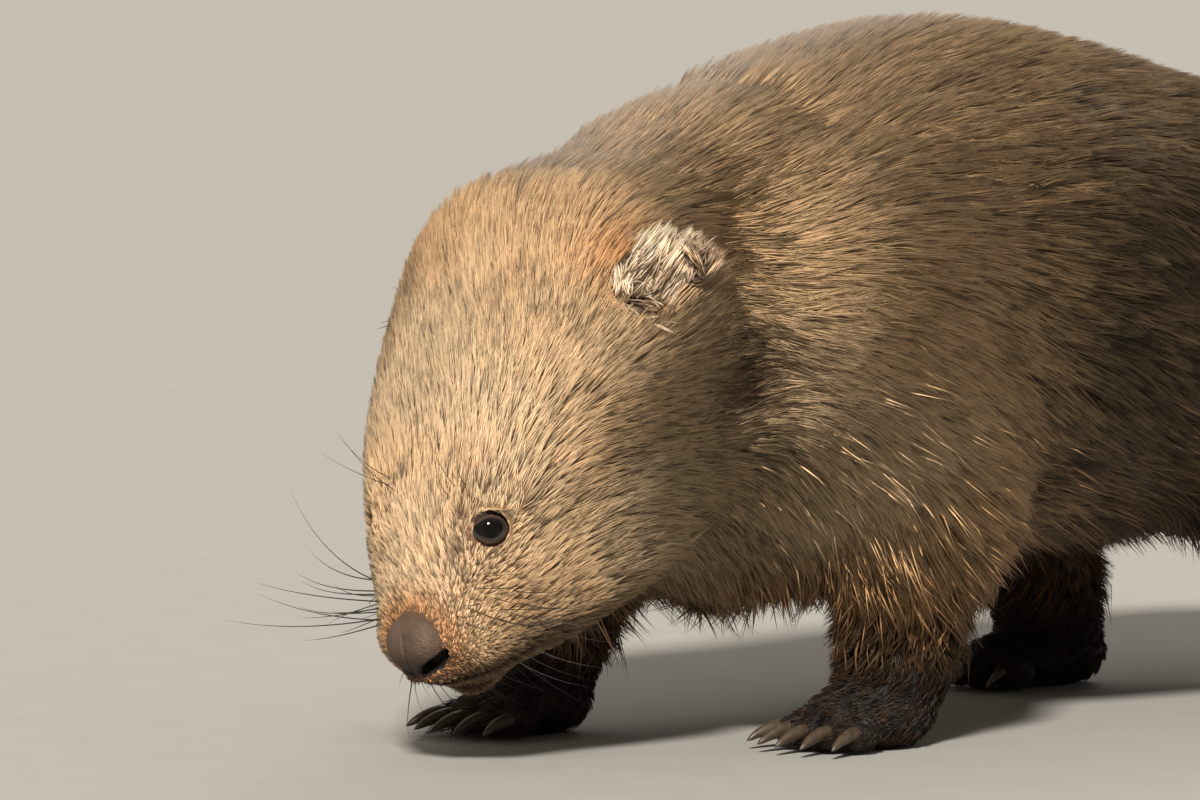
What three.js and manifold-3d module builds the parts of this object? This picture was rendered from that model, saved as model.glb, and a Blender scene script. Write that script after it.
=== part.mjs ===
// A bare-nosed wombat at life size, walking with its head down to the ground, as a still museum model.
// Millimetres. +X is the animal's left, +Y runs towards its rump and +Z is up. The solids give the outline of the
// coat, out to the tips of its fur. Every form is a three.js geometry whose vertices are carried along rays onto one
// smooth body surface, and the nodes are parted from it with thin cuts.
import * as THREE from "three";
import { mergeVertices } from "three/addons/utils/BufferGeometryUtils.js";
import Module from "manifold-3d";

const wasm = await Module();
wasm.setup();

// Driving dimensions
const GAP = 0.35; // left between neighbouring nodes
const HEAD_PITCH = 47; // degrees that the head is lowered
const HEAD_YAW = 5; // degrees that it is turned to the animal's left
const HEAD_ROLL = 3.5; // degrees that its left side is held lower
const NOSE = [11, -164, 49.5]; // front of the muzzle in the body's frame
const EYE_RADIUS = 9.6;
const EYE = [49, 23, 27.6]; // centre of the left eye: back, up and left of the front of the muzzle
const EYE_AIM = [-0.3, 0.55, 0.78]; // the way it looks, along the same axes
const LID_THICKNESS = 2.2;
const EAR_LENGTH = 46; // from the root, which lies in the coat, to the tip
const EAR_ROOT = [168, 29, 70]; // back, up and left of the front of the muzzle
const EAR_TIP = [182, 69, 76];
const EAR_WIDTH = 46;
const MOUTH_WIDTH = 1.5; // opening between the lips
const SOLE_HEIGHT = 30; // a paw ends this high on the leg
const FORE_CLAW = 19;
const HIND_CLAW = 15;
const TAIL_LENGTH = 22;
const COAT_CORE = 7.5; // the core of the long coat lies this far under the tips of its locks
const LOCK_LENGTH = 78;
const LOCK_WIDTH = 44;
const LOCK_SPACING = 55; // between the roots of neighbours in a row
const ROW_SPACING = 59; // between rows along the trunk
const LOCK_THICKNESS = 7;
const HEAD_LOCK_ROWS = [62, 100, 138]; // places along the head where its rows of locks are rooted
const TRUNK_LOCKS = [-30, 470]; // first and last place along the trunk
const SLEEVE = 7; // the body is cut this far clear of a leg's core

const radians = THREE.MathUtils.degToRad;
const vec = (x, y, z) => new THREE.Vector3(x, y, z);

// The head has axes of its own: back from the muzzle, up through the crown, and left
const pitch = radians(HEAD_PITCH);
const yaw = radians(HEAD_YAW);
const headBack = vec(-Math.sin(yaw) * Math.cos(pitch), Math.cos(yaw) * Math.cos(pitch), Math.sin(pitch));
const roll = radians(HEAD_ROLL);
const headUp = vec(Math.sin(yaw) * Math.sin(pitch), -Math.cos(yaw) * Math.sin(pitch), Math.cos(pitch));
const headLeft = vec(Math.cos(yaw), Math.sin(yaw), 0);
for (const side of [headUp, headLeft]) side.applyAxisAngle(headBack, -roll);
const nose = vec(...NOSE);

const headDirection = ([back, up, left]) =>
  vec(0, 0, 0).addScaledVector(headBack, back).addScaledVector(headUp, up).addScaledVector(headLeft, left);
const fromHead = (point) => headDirection(point).add(nose);

function toHead(p) {
  const d = p.clone().sub(nose);
  return vec(d.dot(headBack), d.dot(headUp), d.dot(headLeft));
}

// Sections of the head, square to its own axis: place along it, top, bottom and half width
const HEAD_SECTIONS = [
  [-5, -11, -18, 8],
  [3, -2, -25, 19],
  [13, 8, -31, 28],
  [28, 22, -40, 40],
  [48, 36, -50, 53],
  [75, 50, -58, 68],
  [105, 62, -64, 79],
  [140, 74, -66, 84],
  [165, 81, -62, 81],
  [190, 83, -52, 70],
  [212, 74, -38, 54],
  [230, 52, -18, 34],
];
const HEAD_SQUARENESS = 2.8; // exponent of a section's outline, 2 for an ellipse
const WHISKER_PAD = { at: [24, -12, 22], size: [20, 15, 18] };
const CHIN = { at: [20, -33, 0], size: [15, 9, 15] };

// Sections of the trunk along +Y: place, top, bottom and half width
const TRUNK_SECTIONS = [
  [-60, 230, 92, 66],
  [-30, 254, 74, 87],
  [5, 281, 63, 104],
  [61, 303, 67, 118],
  [122, 315, 76, 128],
  [178, 311, 78, 134],
  [238, 298, 78, 137],
  [300, 282, 80, 134],
  [360, 262, 84, 127],
  [420, 241, 90, 110],
  [462, 212, 102, 82],
  [484, 186, 120, 50],
  [495, 164, 138, 16],
];
const TRUNK_SQUARENESS = 2.15;

// Joint centres and radii of each leg from the top down, then its paw, with the angle its toes turn out by
const LEGS = {
  foreleg_left: {
    joints: [[70, 22, 180], [80, 56, 108], [72, 56, 44], [71, 48, 20]],
    radii: [56, 40, 27, 21],
    paw: { at: [69, 38, 13], size: [25, 32, 15] },
    toes: { count: 5, radius: 8.5, claw: FORE_CLAW, turn: 3 },
  },
  foreleg_right: {
    joints: [[-70, 6, 180], [-82, 12, 108], [-71, -20, 46], [-69, -28, 20]],
    radii: [56, 40, 27, 21],
    paw: { at: [-67, -38, 13], size: [25, 32, 15] },
    toes: { count: 5, radius: 8.5, claw: FORE_CLAW, turn: -3 },
  },
  hindleg_left: {
    joints: [[62, 372, 168], [86, 296, 112], [80, 370, 46], [77, 380, 20]],
    radii: [72, 50, 27, 21],
    paw: { at: [76, 360, 13], size: [24, 42, 15] },
    toes: { count: 4, radius: 9.5, claw: HIND_CLAW, turn: 6 },
  },
  hindleg_right: {
    joints: [[-62, 360, 168], [-86, 262, 112], [-78, 286, 46], [-74, 292, 20]],
    radii: [72, 50, 27, 21],
    paw: { at: [-73, 270, 13], size: [24, 42, 15] },
    toes: { count: 4, radius: 9.5, claw: HIND_CLAW, turn: -6 },
  },
};

// Distance fields: negative inside, in millimetres near the surface
function ellipsoid(p, centre, radii) {
  const [x, y, z] = [p.x - centre[0], p.y - centre[1], p.z - centre[2]];
  const [a, b, c] = radii;
  const near = Math.hypot(x / a, y / b, z / c);
  const slope = Math.hypot(x / (a * a), y / (b * b), z / (c * c));
  return slope < 1e-9 ? -Math.min(a, b, c) : (near * (near - 1)) / slope;
}

function limb(p, from, to, fromRadius, toRadius) {
  const axis = vec(to[0] - from[0], to[1] - from[1], to[2] - from[2]);
  const d = vec(p.x - from[0], p.y - from[1], p.z - from[2]);
  const t = THREE.MathUtils.clamp(d.dot(axis) / axis.lengthSq(), 0, 1);
  return d.addScaledVector(axis, -t).length() - THREE.MathUtils.lerp(fromRadius, toRadius, t);
}

function blend(a, b, width) {
  const h = Math.max(width - Math.abs(a - b), 0) / width;
  return Math.min(a, b) - (h * h * width) / 4;
}

// Slopes at the rows of a table of sections, for a smooth curve through them
function slopes(table) {
  return table.map((row, i) => {
    const before = table[Math.max(i - 1, 0)];
    const after = table[Math.min(i + 1, table.length - 1)];
    return row.map((_, k) => (after[k] - before[k]) / (after[0] - before[0]));
  });
}

const headSlopes = slopes(HEAD_SECTIONS);
const trunkSlopes = slopes(TRUNK_SECTIONS);

function sectionAt(table, tangents, t) {
  const last = table.length - 2;
  let i = 0;
  while (i < last && t > table[i + 1][0]) i++;
  const step = table[i + 1][0] - table[i][0];
  const u = THREE.MathUtils.clamp((t - table[i][0]) / step, 0, 1);
  const [a, b] = [2 * u ** 3 - 3 * u ** 2 + 1, u ** 3 - 2 * u ** 2 + u];
  const [c, d] = [-2 * u ** 3 + 3 * u ** 2, u ** 3 - u ** 2];
  return [1, 2, 3].map(
    (k) => a * table[i][k] + b * step * tangents[i][k] + c * table[i + 1][k] + d * step * tangents[i + 1][k],
  );
}

// Distance to a tube of such sections; along, rise and out are a point's place in its frame
function tube(table, tangents, squareness, along, rise, out) {
  const [top, bottom, half] = sectionAt(table, tangents, along);
  const x = Math.abs(out) / half;
  const y = Math.abs(rise - (top + bottom) / 2) / ((top - bottom) / 2);
  const size = (x ** squareness + y ** squareness) ** (1 / squareness);
  const length = Math.hypot(out, rise - (top + bottom) / 2);
  const d = size < 1e-6 ? -Math.min(half, (top - bottom) / 2) : length * (1 - 1 / size);
  return Math.max(d, table[0][0] - along, along - table.at(-1)[0]);
}

function headField(p) {
  const h = toHead(p);
  let d = tube(HEAD_SECTIONS, headSlopes, HEAD_SQUARENESS, h.x, h.y, h.z);
  const side = vec(h.x, h.y, Math.abs(h.z));
  d = blend(d, ellipsoid(side, WHISKER_PAD.at, WHISKER_PAD.size), 10);
  return blend(d, ellipsoid(h, CHIN.at, CHIN.size), 8);
}

// The upper part of each leg is muscle under the body's skin, and the lower part stands out of it
const upperLeg = (p, leg) => limb(p, leg.joints[0], leg.joints[1], leg.radii[0], leg.radii[1]);

function bodyField(p) {
  let d = tube(TRUNK_SECTIONS, trunkSlopes, TRUNK_SQUARENESS, p.y, p.z, p.x);
  for (const leg of Object.values(LEGS)) d = blend(d, upperLeg(p, leg), 45);
  return blend(d, headField(p), 28);
}

// The long coat starts behind the face, where its core begins to lie below the tips
function coreDepth(p) {
  const back = p.clone().sub(nose).dot(headBack);
  return COAT_CORE * THREE.MathUtils.smoothstep(back, 45, 105);
}
const coreField = (p) => bodyField(p) + coreDepth(p);

// Toe centres across the front of a paw
function toesOf({ paw, toes }) {
  return Array.from({ length: toes.count }, (_, i) => {
    const across = i / (toes.count - 1) - 0.5;
    const turn = radians(toes.turn) + across * 0.5;
    const aim = vec(-Math.sin(-turn), -Math.cos(turn), 0);
    const reachOut = paw.size[1] * (0.86 - 0.9 * across * across);
    const x = paw.at[0] + across * paw.size[0] * 1.55 + aim.x * 6;
    return { at: [x, paw.at[1] - reachOut, toes.radius - 0.5], radius: toes.radius, aim, length: toes.claw };
  });
}

function legField(p, leg) {
  const { joints, radii, paw } = leg;
  let d = upperLeg(p, leg);
  d = blend(d, limb(p, joints[1], joints[2], radii[1], radii[2]), 24);
  d = blend(d, limb(p, joints[2], joints[3], radii[2], radii[3]), 12);
  d = blend(d, ellipsoid(p, paw.at, paw.size), 12);
  for (const toe of toesOf(leg)) {
    const r = toe.radius;
    d = blend(d, ellipsoid(p, toe.at, [r * 0.8, r * 1.5, r]), 3);
  }
  return d;
}

// Meshes and solids
function solidOf(geometry, tolerance = 1e-4) {
  geometry.deleteAttribute("uv");
  geometry.deleteAttribute("normal");
  const merged = mergeVertices(geometry, tolerance);
  return new wasm.Manifold(
    new wasm.Mesh({
      numProp: 3,
      vertProperties: merged.attributes.position.array,
      triVerts: new Uint32Array(merged.index.array),
    }),
  );
}

function geometryOf(solid) {
  const mesh = solid.getMesh();
  return new THREE.BufferGeometry()
    .setAttribute("position", new THREE.BufferAttribute(mesh.vertProperties, 3))
    .setIndex(new THREE.BufferAttribute(mesh.triVerts, 1));
}

// Distance along a ray from inside a field to its surface, at most far
function reach(field, origin, direction, far) {
  let inside = 0;
  let outside = far;
  for (let t = 0; t < far; ) {
    const d = field(origin.clone().addScaledVector(direction, t));
    if (d > 0) {
      outside = t;
      break;
    }
    inside = t;
    t += Math.max(1.5, -0.6 * d);
  }
  for (let i = 0; i < 14 && outside < far; i++) {
    const t = (inside + outside) / 2;
    if (field(origin.clone().addScaledVector(direction, t)) > 0) outside = t;
    else inside = t;
  }
  return inside;
}

// A sphere whose poles lie along a line inside the field, each vertex carried out to the field's surface
function wrap(field, from, to, sides, rings, grow = 0) {
  const geometry = new THREE.SphereGeometry(1, sides, rings);
  const axis = to.clone().sub(from).normalize();
  const side = Math.abs(axis.x) > 0.9 ? vec(0, 0, 1) : vec(1, 0, 0);
  side.addScaledVector(axis, -side.dot(axis)).normalize();
  const across = axis.clone().cross(side);
  const at = geometry.getAttribute("position");
  for (let i = 0; i < at.count; i++) {
    const v = vec(at.getX(i), at.getY(i), at.getZ(i));
    const polar = Math.acos(THREE.MathUtils.clamp(v.y, -1, 1));
    const origin = from.clone().lerp(to, polar / Math.PI);
    const lean = -Math.sign(v.y) * Math.abs(v.y) ** 4;
    const direction = axis.clone().multiplyScalar(lean).addScaledVector(side, v.x).addScaledVector(across, v.z);
    direction.normalize();
    const t = reach(field, origin, direction, 400) + grow;
    const q = origin.addScaledVector(direction, t);
    at.setXYZ(i, q.x, q.y, q.z);
  }
  return solidOf(geometry);
}

// Turns a geometry made along its own x, y and z into a frame of three directions at a point
function placed(geometry, x, y, z, at) {
  return solidOf(geometry.applyMatrix4(new THREE.Matrix4().makeBasis(x, y, z).setPosition(at)));
}

const ball = (radius, at, sides = 14, rings = 9) =>
  solidOf(new THREE.SphereGeometry(radius, sides, rings).translate(at.x, at.y, at.z));

// Everything on the far side of a plane from its normal, less half a gap
function behind(point, normal, gap = GAP) {
  const size = 1200;
  const block = new THREE.BoxGeometry(size, size, size);
  const n = normal.clone().normalize();
  block.applyQuaternion(new THREE.Quaternion().setFromUnitVectors(vec(0, 0, 1), n));
  const centre = point.clone().addScaledVector(n, -(size + gap) / 2);
  block.translate(centre.x, centre.y, centre.z);
  return solidOf(block);
}

// A node keeps only its largest closed surface, once vertices that all but touch are joined. Joining can free a
// hollow that hung on one vertex, so this is repeated until nothing changes.
function largest(solid) {
  let whole = solid;
  for (let triangles = 0; triangles !== whole.numTri(); ) {
    triangles = whole.numTri();
    const loose = geometryOf(whole).toNonIndexed();
    const at = loose.getAttribute("position").array;
    at.forEach((value, i) => {
      at[i] = Math.round(value * 100) / 100;
    });
    const bodies = solidOf(loose, 1e-3).decompose();
    whole = bodies.reduce((a, b) => (b.volume() > a.volume() ? b : a));
  }
  return whole;
}

const wombat = new THREE.Group();
const finish = (color, roughness) => new THREE.MeshStandardMaterial({ color, roughness, metalness: 0 });
const materials = {
  coat: finish(0xa9855c, 0.9),
  nose: finish(0x4a3b33, 0.6),
  eye: finish(0x120c08, 0.1),
  claw: finish(0x3a322b, 0.5),
};

function node(name, solid, material = materials.coat) {
  const mesh = new THREE.Mesh(geometryOf(largest(solid)), material);
  mesh.name = name;
  wombat.add(mesh);
}

// A direction at right angles to an axis, as near as it can be to another direction
function squareTo(axis, near) {
  return near.clone().addScaledVector(axis, -near.dot(axis)).normalize();
}

const mirrored = ([back, up, left], side) => [back, up, left * side];
const SIDES = { left: 1, right: -1 };

// Locks of the long coat

let seed = 7;
function random() {
  seed = (seed * 16807) % 2147483647;
  return seed / 2147483647;
}
const vary = (share) => 1 + share * (2 * random() - 1);

function normalAt(field, p) {
  const e = 0.5;
  const slope = (d) => field(p.clone().add(d)) - field(p.clone().sub(d));
  return vec(slope(vec(e, 0, 0)), slope(vec(0, e, 0)), slope(vec(0, 0, e))).normalize();
}

// Carries a point along the slope of a field until the field has the level asked for
function toLevel(field, p, level) {
  const q = p.clone();
  for (let i = 0; i < 4; i++) q.addScaledVector(normalAt(field, q), level - field(q));
  return q;
}

// The lie of the coat: back over the head and trunk, down the flanks, and down over the rump
function lie(p) {
  const onTrunk = vec(0, 1, -0.4 * Math.min(Math.abs(p.x) / 110, 1) - Math.max(p.y - 420, 0) / 50);
  const back = p.clone().sub(nose).dot(headBack);
  return headBack.clone().lerp(onTrunk, THREE.MathUtils.smoothstep(back, 110, 210));
}

// A flat, ridged lock that tapers from its root inside the core to its tip, and rises slowly to the tips of the coat.
// The three sides of a cone become the two slopes that meet in its ridge, and its underside.
const LOCK_RISE = [-1.7, -0.7, 0.15]; // level of its middle line at each step, in depths of the core
const LOCK_BREADTH = [0.46, 0.56]; // half width at each step before the tip
const LOCK_HEIGHT = [0.7, 0.75]; // half thickness
const LOCK_STEPS = LOCK_RISE.length - 1;
function lock(root, { length, width, thickness }) {
  const levelAt = (q, step) => LOCK_RISE[step] * Math.max(coreDepth(q), 3);
  const rows = [];
  let p = toLevel(bodyField, root, levelAt(root, 0));
  for (let i = 0; i <= LOCK_STEPS; i++) {
    const normal = normalAt(bodyField, p);
    const along = squareTo(normal, lie(p));
    rows.push({ p, normal, across: along.clone().cross(normal) });
    const next = p.clone().addScaledVector(along, length / LOCK_STEPS);
    p = toLevel(bodyField, next, levelAt(next, Math.min(i + 1, LOCK_STEPS)));
  }
  const cone = new THREE.ConeGeometry(1, 1, 3, LOCK_STEPS);
  const at = cone.getAttribute("position");
  for (let i = 0; i < at.count; i++) {
    const step = Math.round((at.getY(i) + 0.5) * LOCK_STEPS);
    const share = Math.max(1 - step / LOCK_STEPS, 1e-9);
    const q = rows[step].p.clone();
    if (step < LOCK_STEPS) {
      q.addScaledVector(rows[step].across, (at.getX(i) / share) * LOCK_BREADTH[step] * width);
      q.addScaledVector(rows[step].normal, (at.getZ(i) / share) * LOCK_HEIGHT[step] * thickness);
    }
    at.setXYZ(i, q.x, q.y, q.z);
  }
  return { solid: solidOf(cone), path: rows.map((row) => row.p) };
}

// Locks leave clear the ears, and the places where the legs come out of the body
const earRoots = [1, -1].map((side) => fromHead(mirrored(EAR_ROOT, side)));
function clearOfOthers(p) {
  const nearLeg = Object.values(LEGS).some(({ joints, radii }) => {
    const away = limb(p, joints[1], joints[2], radii[1], radii[2]);
    return away < SLEEVE + 14 && p.z < joints[1][2] + 30;
  });
  return !nearLeg && earRoots.every((root) => root.distanceTo(p) > EAR_WIDTH - 3);
}

// One row of locks round a centre, from an angle down from the top, half a lock out of step with the row before it
let rowCount = 0;
function lockRow(centre, up, side, from) {
  const locks = [];
  const girth = [0, 60, 120, 180, 240, 300].reduce((sum, turn) => {
    const direction = up.clone().multiplyScalar(Math.cos(radians(turn)));
    direction.addScaledVector(side, Math.sin(radians(turn)));
    return sum + (reach(bodyField, centre, direction, 300) * Math.PI) / 3;
  }, 0);
  const count = Math.round(girth / LOCK_SPACING);
  for (let i = 0; i < count; i++) {
    const turn = (2 * Math.PI * (i + (rowCount % 2) / 2 + 0.3 * (random() - 0.5))) / count;
    if (Math.cos(turn) > Math.cos(from)) continue;
    const direction = up.clone().multiplyScalar(Math.cos(turn)).addScaledVector(side, Math.sin(turn));
    const root = centre.clone().addScaledVector(direction, reach(bodyField, centre, direction, 300));
    const size = { length: LOCK_LENGTH * vary(0.15), width: LOCK_WIDTH * vary(0.12), thickness: LOCK_THICKNESS };
    const { solid, path } = lock(root, size);
    if (path.every(clearOfOthers)) locks.push(solid);
  }
  rowCount++;
  return locks;
}

// Rows run from behind the eyes over the cheeks and jaw, and from the neck to the rump all round the trunk
function coatLocks() {
  const locks = [];
  for (const back of HEAD_LOCK_ROWS) locks.push(...lockRow(fromHead([back, 6, 0]), headUp, headLeft, radians(62)));
  for (let y = TRUNK_LOCKS[0]; y < TRUNK_LOCKS[1]; y += ROW_SPACING) {
    locks.push(...lockRow(vec(0, y, 176 - y * 0.03), vec(0, 0, 1), vec(1, 0, 0), 0));
  }
  return locks;
}

// Cuts across the neck
const headCut = { at: vec(0, -38, 205), normal: vec(-Math.sin(yaw), Math.cos(yaw), 0.1) };
const neckCut = { at: vec(0, 2, 205), normal: vec(-0.05, 1, -0.1) };
const turned = (v) => v.clone().negate();

const headWrap = (grow) => wrap(coreField, fromHead([20, -12, 0]), fromHead([190, 8, 0]), 30, 26, grow);
const neckWrap = (grow) => wrap(coreField, vec(4, -60, 168), vec(0, 30, 176), 32, 10, grow);
const torsoWrap = (grow) => wrap(coreField, vec(0, 0, 178), vec(0, 420, 162), 28, 22, grow);

// Lids are a ball round each eye, opened in an almond that its two arcs leave between them
function eyeParts(side) {
  const centre = fromHead(mirrored(EYE, side));
  const aim = headDirection(mirrored(EYE_AIM, side)).normalize();
  const up = squareTo(aim, headDirection(mirrored([0.55, 0.8, 0.1], side)));
  const across = up.clone().cross(aim);
  const arc = (lift) => {
    const cylinder = new THREE.CylinderGeometry(11, 11, 30, 20).translate(0, 15, lift);
    return placed(cylinder, across, aim, turned(up), centre);
  };
  return {
    lids: ball(EYE_RADIUS + GAP + LID_THICKNESS, centre),
    socket: ball(EYE_RADIUS + GAP, centre),
    opening: arc(4.6).intersect(arc(-4.6)),
    eyeball: ball(EYE_RADIUS, centre),
  };
}
const eyes = { left: eyeParts(1), right: eyeParts(-1) };

// The nose pad is a tilted oval set into the front of the muzzle, with a nostril each side
const padAim = headDirection([-0.78, 0.62, 0]).normalize();
const padUp = squareTo(padAim, headUp);
const padCentre = fromHead([7.4, -8, 0]);
function nosePad(grow) {
  const shape = new THREE.SphereGeometry(1, 18, 9).scale(20 + grow, 13.5 + grow, 10 + grow);
  return placed(shape, headLeft, padUp, padAim, padCentre);
}
function nostril(side) {
  const hole = new THREE.SphereGeometry(1, 8, 6).scale(4.2, 3.2, 7);
  const centre = padCentre.clone().addScaledVector(headLeft, 9.5 * side).addScaledVector(padUp, -2.5);
  centre.addScaledVector(padAim, 9);
  const slit = new THREE.SphereGeometry(1, 8, 6).scale(5.5, 1.6, 5);
  const slitCentre = centre.clone().addScaledVector(headLeft, 4.5 * side).addScaledVector(padUp, -1.5);
  const lean = squareTo(padAim, headLeft.clone().multiplyScalar(side).addScaledVector(padUp, 0.5));
  return placed(hole, headLeft, padUp, padAim, centre).add(
    placed(slit, lean, padAim.clone().cross(lean), padAim, slitCentre),
  );
}

// The mouth is a slit across the front of the muzzle, a little lower at its corners
function mouth() {
  const slit = new THREE.BoxGeometry(42, MOUTH_WIDTH, 64, 1, 1, 6);
  const at = slit.getAttribute("position");
  for (let i = 0; i < at.count; i++) at.setY(i, at.getY(i) - 0.0045 * at.getZ(i) ** 2 - 0.1 * at.getX(i));
  return placed(slit, headBack, headUp, headLeft, fromHead([8, -21, 0]));
}

// An ear is a deep cup that opens forwards and out, rooted in the side of the crown


function ear(side) {
  const base = fromHead(mirrored(EAR_ROOT, side));
  const axis = fromHead(mirrored(EAR_TIP, side)).sub(base).normalize();
  const aim = squareTo(axis, headDirection(mirrored([-0.62, 0.1, 0.75], side)));
  const across = axis.clone().cross(aim);
  const centre = base.clone().addScaledVector(axis, EAR_LENGTH * 0.35);
  const outer = new THREE.SphereGeometry(1, 18, 12).scale(EAR_WIDTH / 2, 12, EAR_LENGTH * 0.65);
  const inner = new THREE.SphereGeometry(1, 16, 10).scale(EAR_WIDTH / 2 - 4.5, 10, EAR_LENGTH * 0.65 - 4.5);
  const hollow = centre.clone().addScaledVector(aim, 6);
  return placed(outer, across, turned(aim), axis, centre).subtract(
    placed(inner, across, turned(aim), axis, hollow),
  );
}

// The lower part of a leg is parted from the body by a sleeve a little wider than the leg, closed by a level top
function sleeve({ joints, radii }, grow) {
  const around = (p) =>
    Math.min(
      limb(p, joints[1], joints[2], radii[1] + SLEEVE, radii[2] + SLEEVE),
      limb(p, joints[2], joints[3], radii[2] + SLEEVE, radii[3] + SLEEVE),
    );
  const [, top, , foot] = joints.map((j) => vec(...j));
  const lid = vec(0, 0, joints[1][2] + 12 + grow);
  return wrap(around, top, foot, 16, 8, grow).intersect(behind(lid, vec(0, 0, 1), 0));
}

function parted(solid) {
  return Object.values(LEGS).reduce((rest, leg) => rest.subtract(sleeve(leg, GAP + 0.1)), solid);
}

const coat = coatLocks();

// A core with every lock that reaches past a plane, cut back to its own side of it, and with no hollow under them
function coated(core, ...sides) {
  const within = (solid) => sides.reduce((rest, side) => rest.intersect(side), solid);
  const whole = coat.reduce((body, one) => {
    const piece = within(one);
    return piece.isEmpty() ? body : body.add(piece);
  }, within(core));
  return largest(whole);
}

let head = coated(headWrap(0), behind(headCut.at, headCut.normal));
for (const { lids, socket, opening } of Object.values(eyes)) head = head.add(lids).subtract(socket).subtract(opening);
node("head", parted(head).subtract(nosePad(GAP)).subtract(mouth()));
node("nose_pad", nosePad(0).subtract(nostril(1)).subtract(nostril(-1)).subtract(mouth()), materials.nose);

const clearHead = headWrap(0.7);
for (const [name, side] of Object.entries(SIDES)) {
  node(`eye_${name}`, eyes[name].eyeball, materials.eye);
  node(`ear_${name}`, ear(side).subtract(clearHead));
}

const neckSides = [behind(headCut.at, turned(headCut.normal)), behind(neckCut.at, neckCut.normal)];
node("neck", parted(coated(neckWrap(0), ...neckSides)));
node("torso", parted(coated(torsoWrap(0), behind(neckCut.at, turned(neckCut.normal)))));

// Claws are tapered cones bent down towards the ground
function claw({ at, aim, radius, length }) {
  const cone = new THREE.CylinderGeometry(length * 0.17, 0.6, length, 6, 3).translate(0, -length / 2, 0);
  const place = cone.getAttribute("position");
  for (let i = 0; i < place.count; i++) {
    const along = -place.getY(i) / length;
    place.setZ(i, place.getZ(i) + along ** 2 * (radius - 3));
  }
  const start = vec(at[0], at[1], at[2] + 1.5).addScaledVector(aim, radius * 0.7);
  return placed(cone, vec(aim.y, -aim.x, 0), turned(aim), vec(0, 0, -1), start);
}

const sole = vec(0, 0, SOLE_HEIGHT);
const aboveGround = behind(vec(0, 0, 0), vec(0, 0, -1), 0);
for (const [name, leg] of Object.entries(LEGS)) {
  const [, elbow, , ankle] = leg.joints.map((j) => vec(...j));
  const withBody = (p) => blend(coreField(p), legField(p, leg), 14);
  const lower = wrap(withBody, elbow, ankle, 20, 12).intersect(sleeve(leg, 0));
  node(name, lower.intersect(behind(sole, vec(0, 0, -1))));
  const middle = vec(...leg.paw.at);
  const pawWrap = (grow) => wrap((p) => legField(p, leg), middle, vec(middle.x, middle.y + 8, 22), 24, 10, grow);
  const pawName = name.replace("leg", "paw");
  node(pawName, pawWrap(0).intersect(behind(sole, vec(0, 0, 1))).intersect(aboveGround));
  const clearPaw = pawWrap(GAP + 0.1);
  toesOf(leg).forEach((toe, i) => node(`claw_${pawName}_${i + 1}`, claw(toe).subtract(clearPaw), materials.claw));
}

const tail = (p) => limb(p, [0, 474, 166], [0, 486 + TAIL_LENGTH, 146], 15, 8);
node("tail", wrap(tail, vec(0, 478, 165), vec(0, 480 + TAIL_LENGTH, 148), 10, 7).subtract(torsoWrap(0.7)));

// The origin is the middle of the model's box on the ground
const box = new THREE.Box3().setFromObject(wombat);
const middle = box.getCenter(vec(0, 0, 0)).multiplyScalar(100).round().divideScalar(100);
wombat.position.set(-middle.x, -middle.y, 0);
export default wombat;
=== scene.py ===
import math

import bmesh
import bpy
import numpy as np
from mathutils import Matrix, Vector
from mathutils.kdtree import KDTree


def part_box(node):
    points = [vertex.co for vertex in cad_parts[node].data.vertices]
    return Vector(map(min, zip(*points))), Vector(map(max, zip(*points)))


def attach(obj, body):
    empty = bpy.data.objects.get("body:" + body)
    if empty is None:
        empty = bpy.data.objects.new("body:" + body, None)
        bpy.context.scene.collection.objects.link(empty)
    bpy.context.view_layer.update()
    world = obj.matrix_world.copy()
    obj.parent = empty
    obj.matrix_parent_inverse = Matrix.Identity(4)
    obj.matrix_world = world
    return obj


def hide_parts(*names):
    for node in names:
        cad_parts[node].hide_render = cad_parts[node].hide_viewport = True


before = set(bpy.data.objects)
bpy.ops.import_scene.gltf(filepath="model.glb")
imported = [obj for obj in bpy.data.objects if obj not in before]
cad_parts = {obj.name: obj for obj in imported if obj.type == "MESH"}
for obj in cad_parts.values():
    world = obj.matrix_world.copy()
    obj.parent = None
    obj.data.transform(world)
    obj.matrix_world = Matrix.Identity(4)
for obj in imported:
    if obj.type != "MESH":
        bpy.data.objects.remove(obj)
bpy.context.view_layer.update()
rng = np.random.default_rng(11)

# Named sizes. The eye sits a few millimetres from its place in the solids, which SOLID_EYE gives.
HEAD_PITCH = math.radians(47)
HEAD_YAW = math.radians(5)
HEAD_ROLL = math.radians(3.5)
NOSE = np.array([11.0, -164.0, 49.5])
EYE_RADIUS = 9.6
SOLID_EYE = (49, 23, 27.6)
EYE = (50.7, 19.4, 29.6)
EYE_AIM = (-0.36, 0.5, 0.79)
EAR_LENGTH = 38
EAR_WIDTH = 44
EAR_ROOT = (165, 30.5, 67)
EAR_TIP = (179, 70.5, 73)
FORE_CLAW = 19
HIND_CLAW = 15

# Sections of the head, square to its own axis: place along it, top, bottom and half width
HEAD_SECTIONS = [
    (-5, -11, -18, 8),
    (3, -2, -25, 19),
    (13, 8, -31, 28),
    (28, 22, -40, 40),
    (48, 36, -50, 53),
    (75, 50, -58, 68),
    (105, 62, -64, 79),
    (140, 74, -66, 84),
    (165, 83, -62, 82),
    (190, 84, -52, 76),
    (212, 69, -42, 69),
    (235, 55, -30, 60),
    (262, 42, -16, 52),
    (285, 18, 0, 26),
]
HEAD_SQUARENESS = 2.8
WHISKER_PAD = ((24, -12, 22), (20, 15, 18))
CHIN = ((20, -33, 0), (15, 9, 15))

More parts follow.
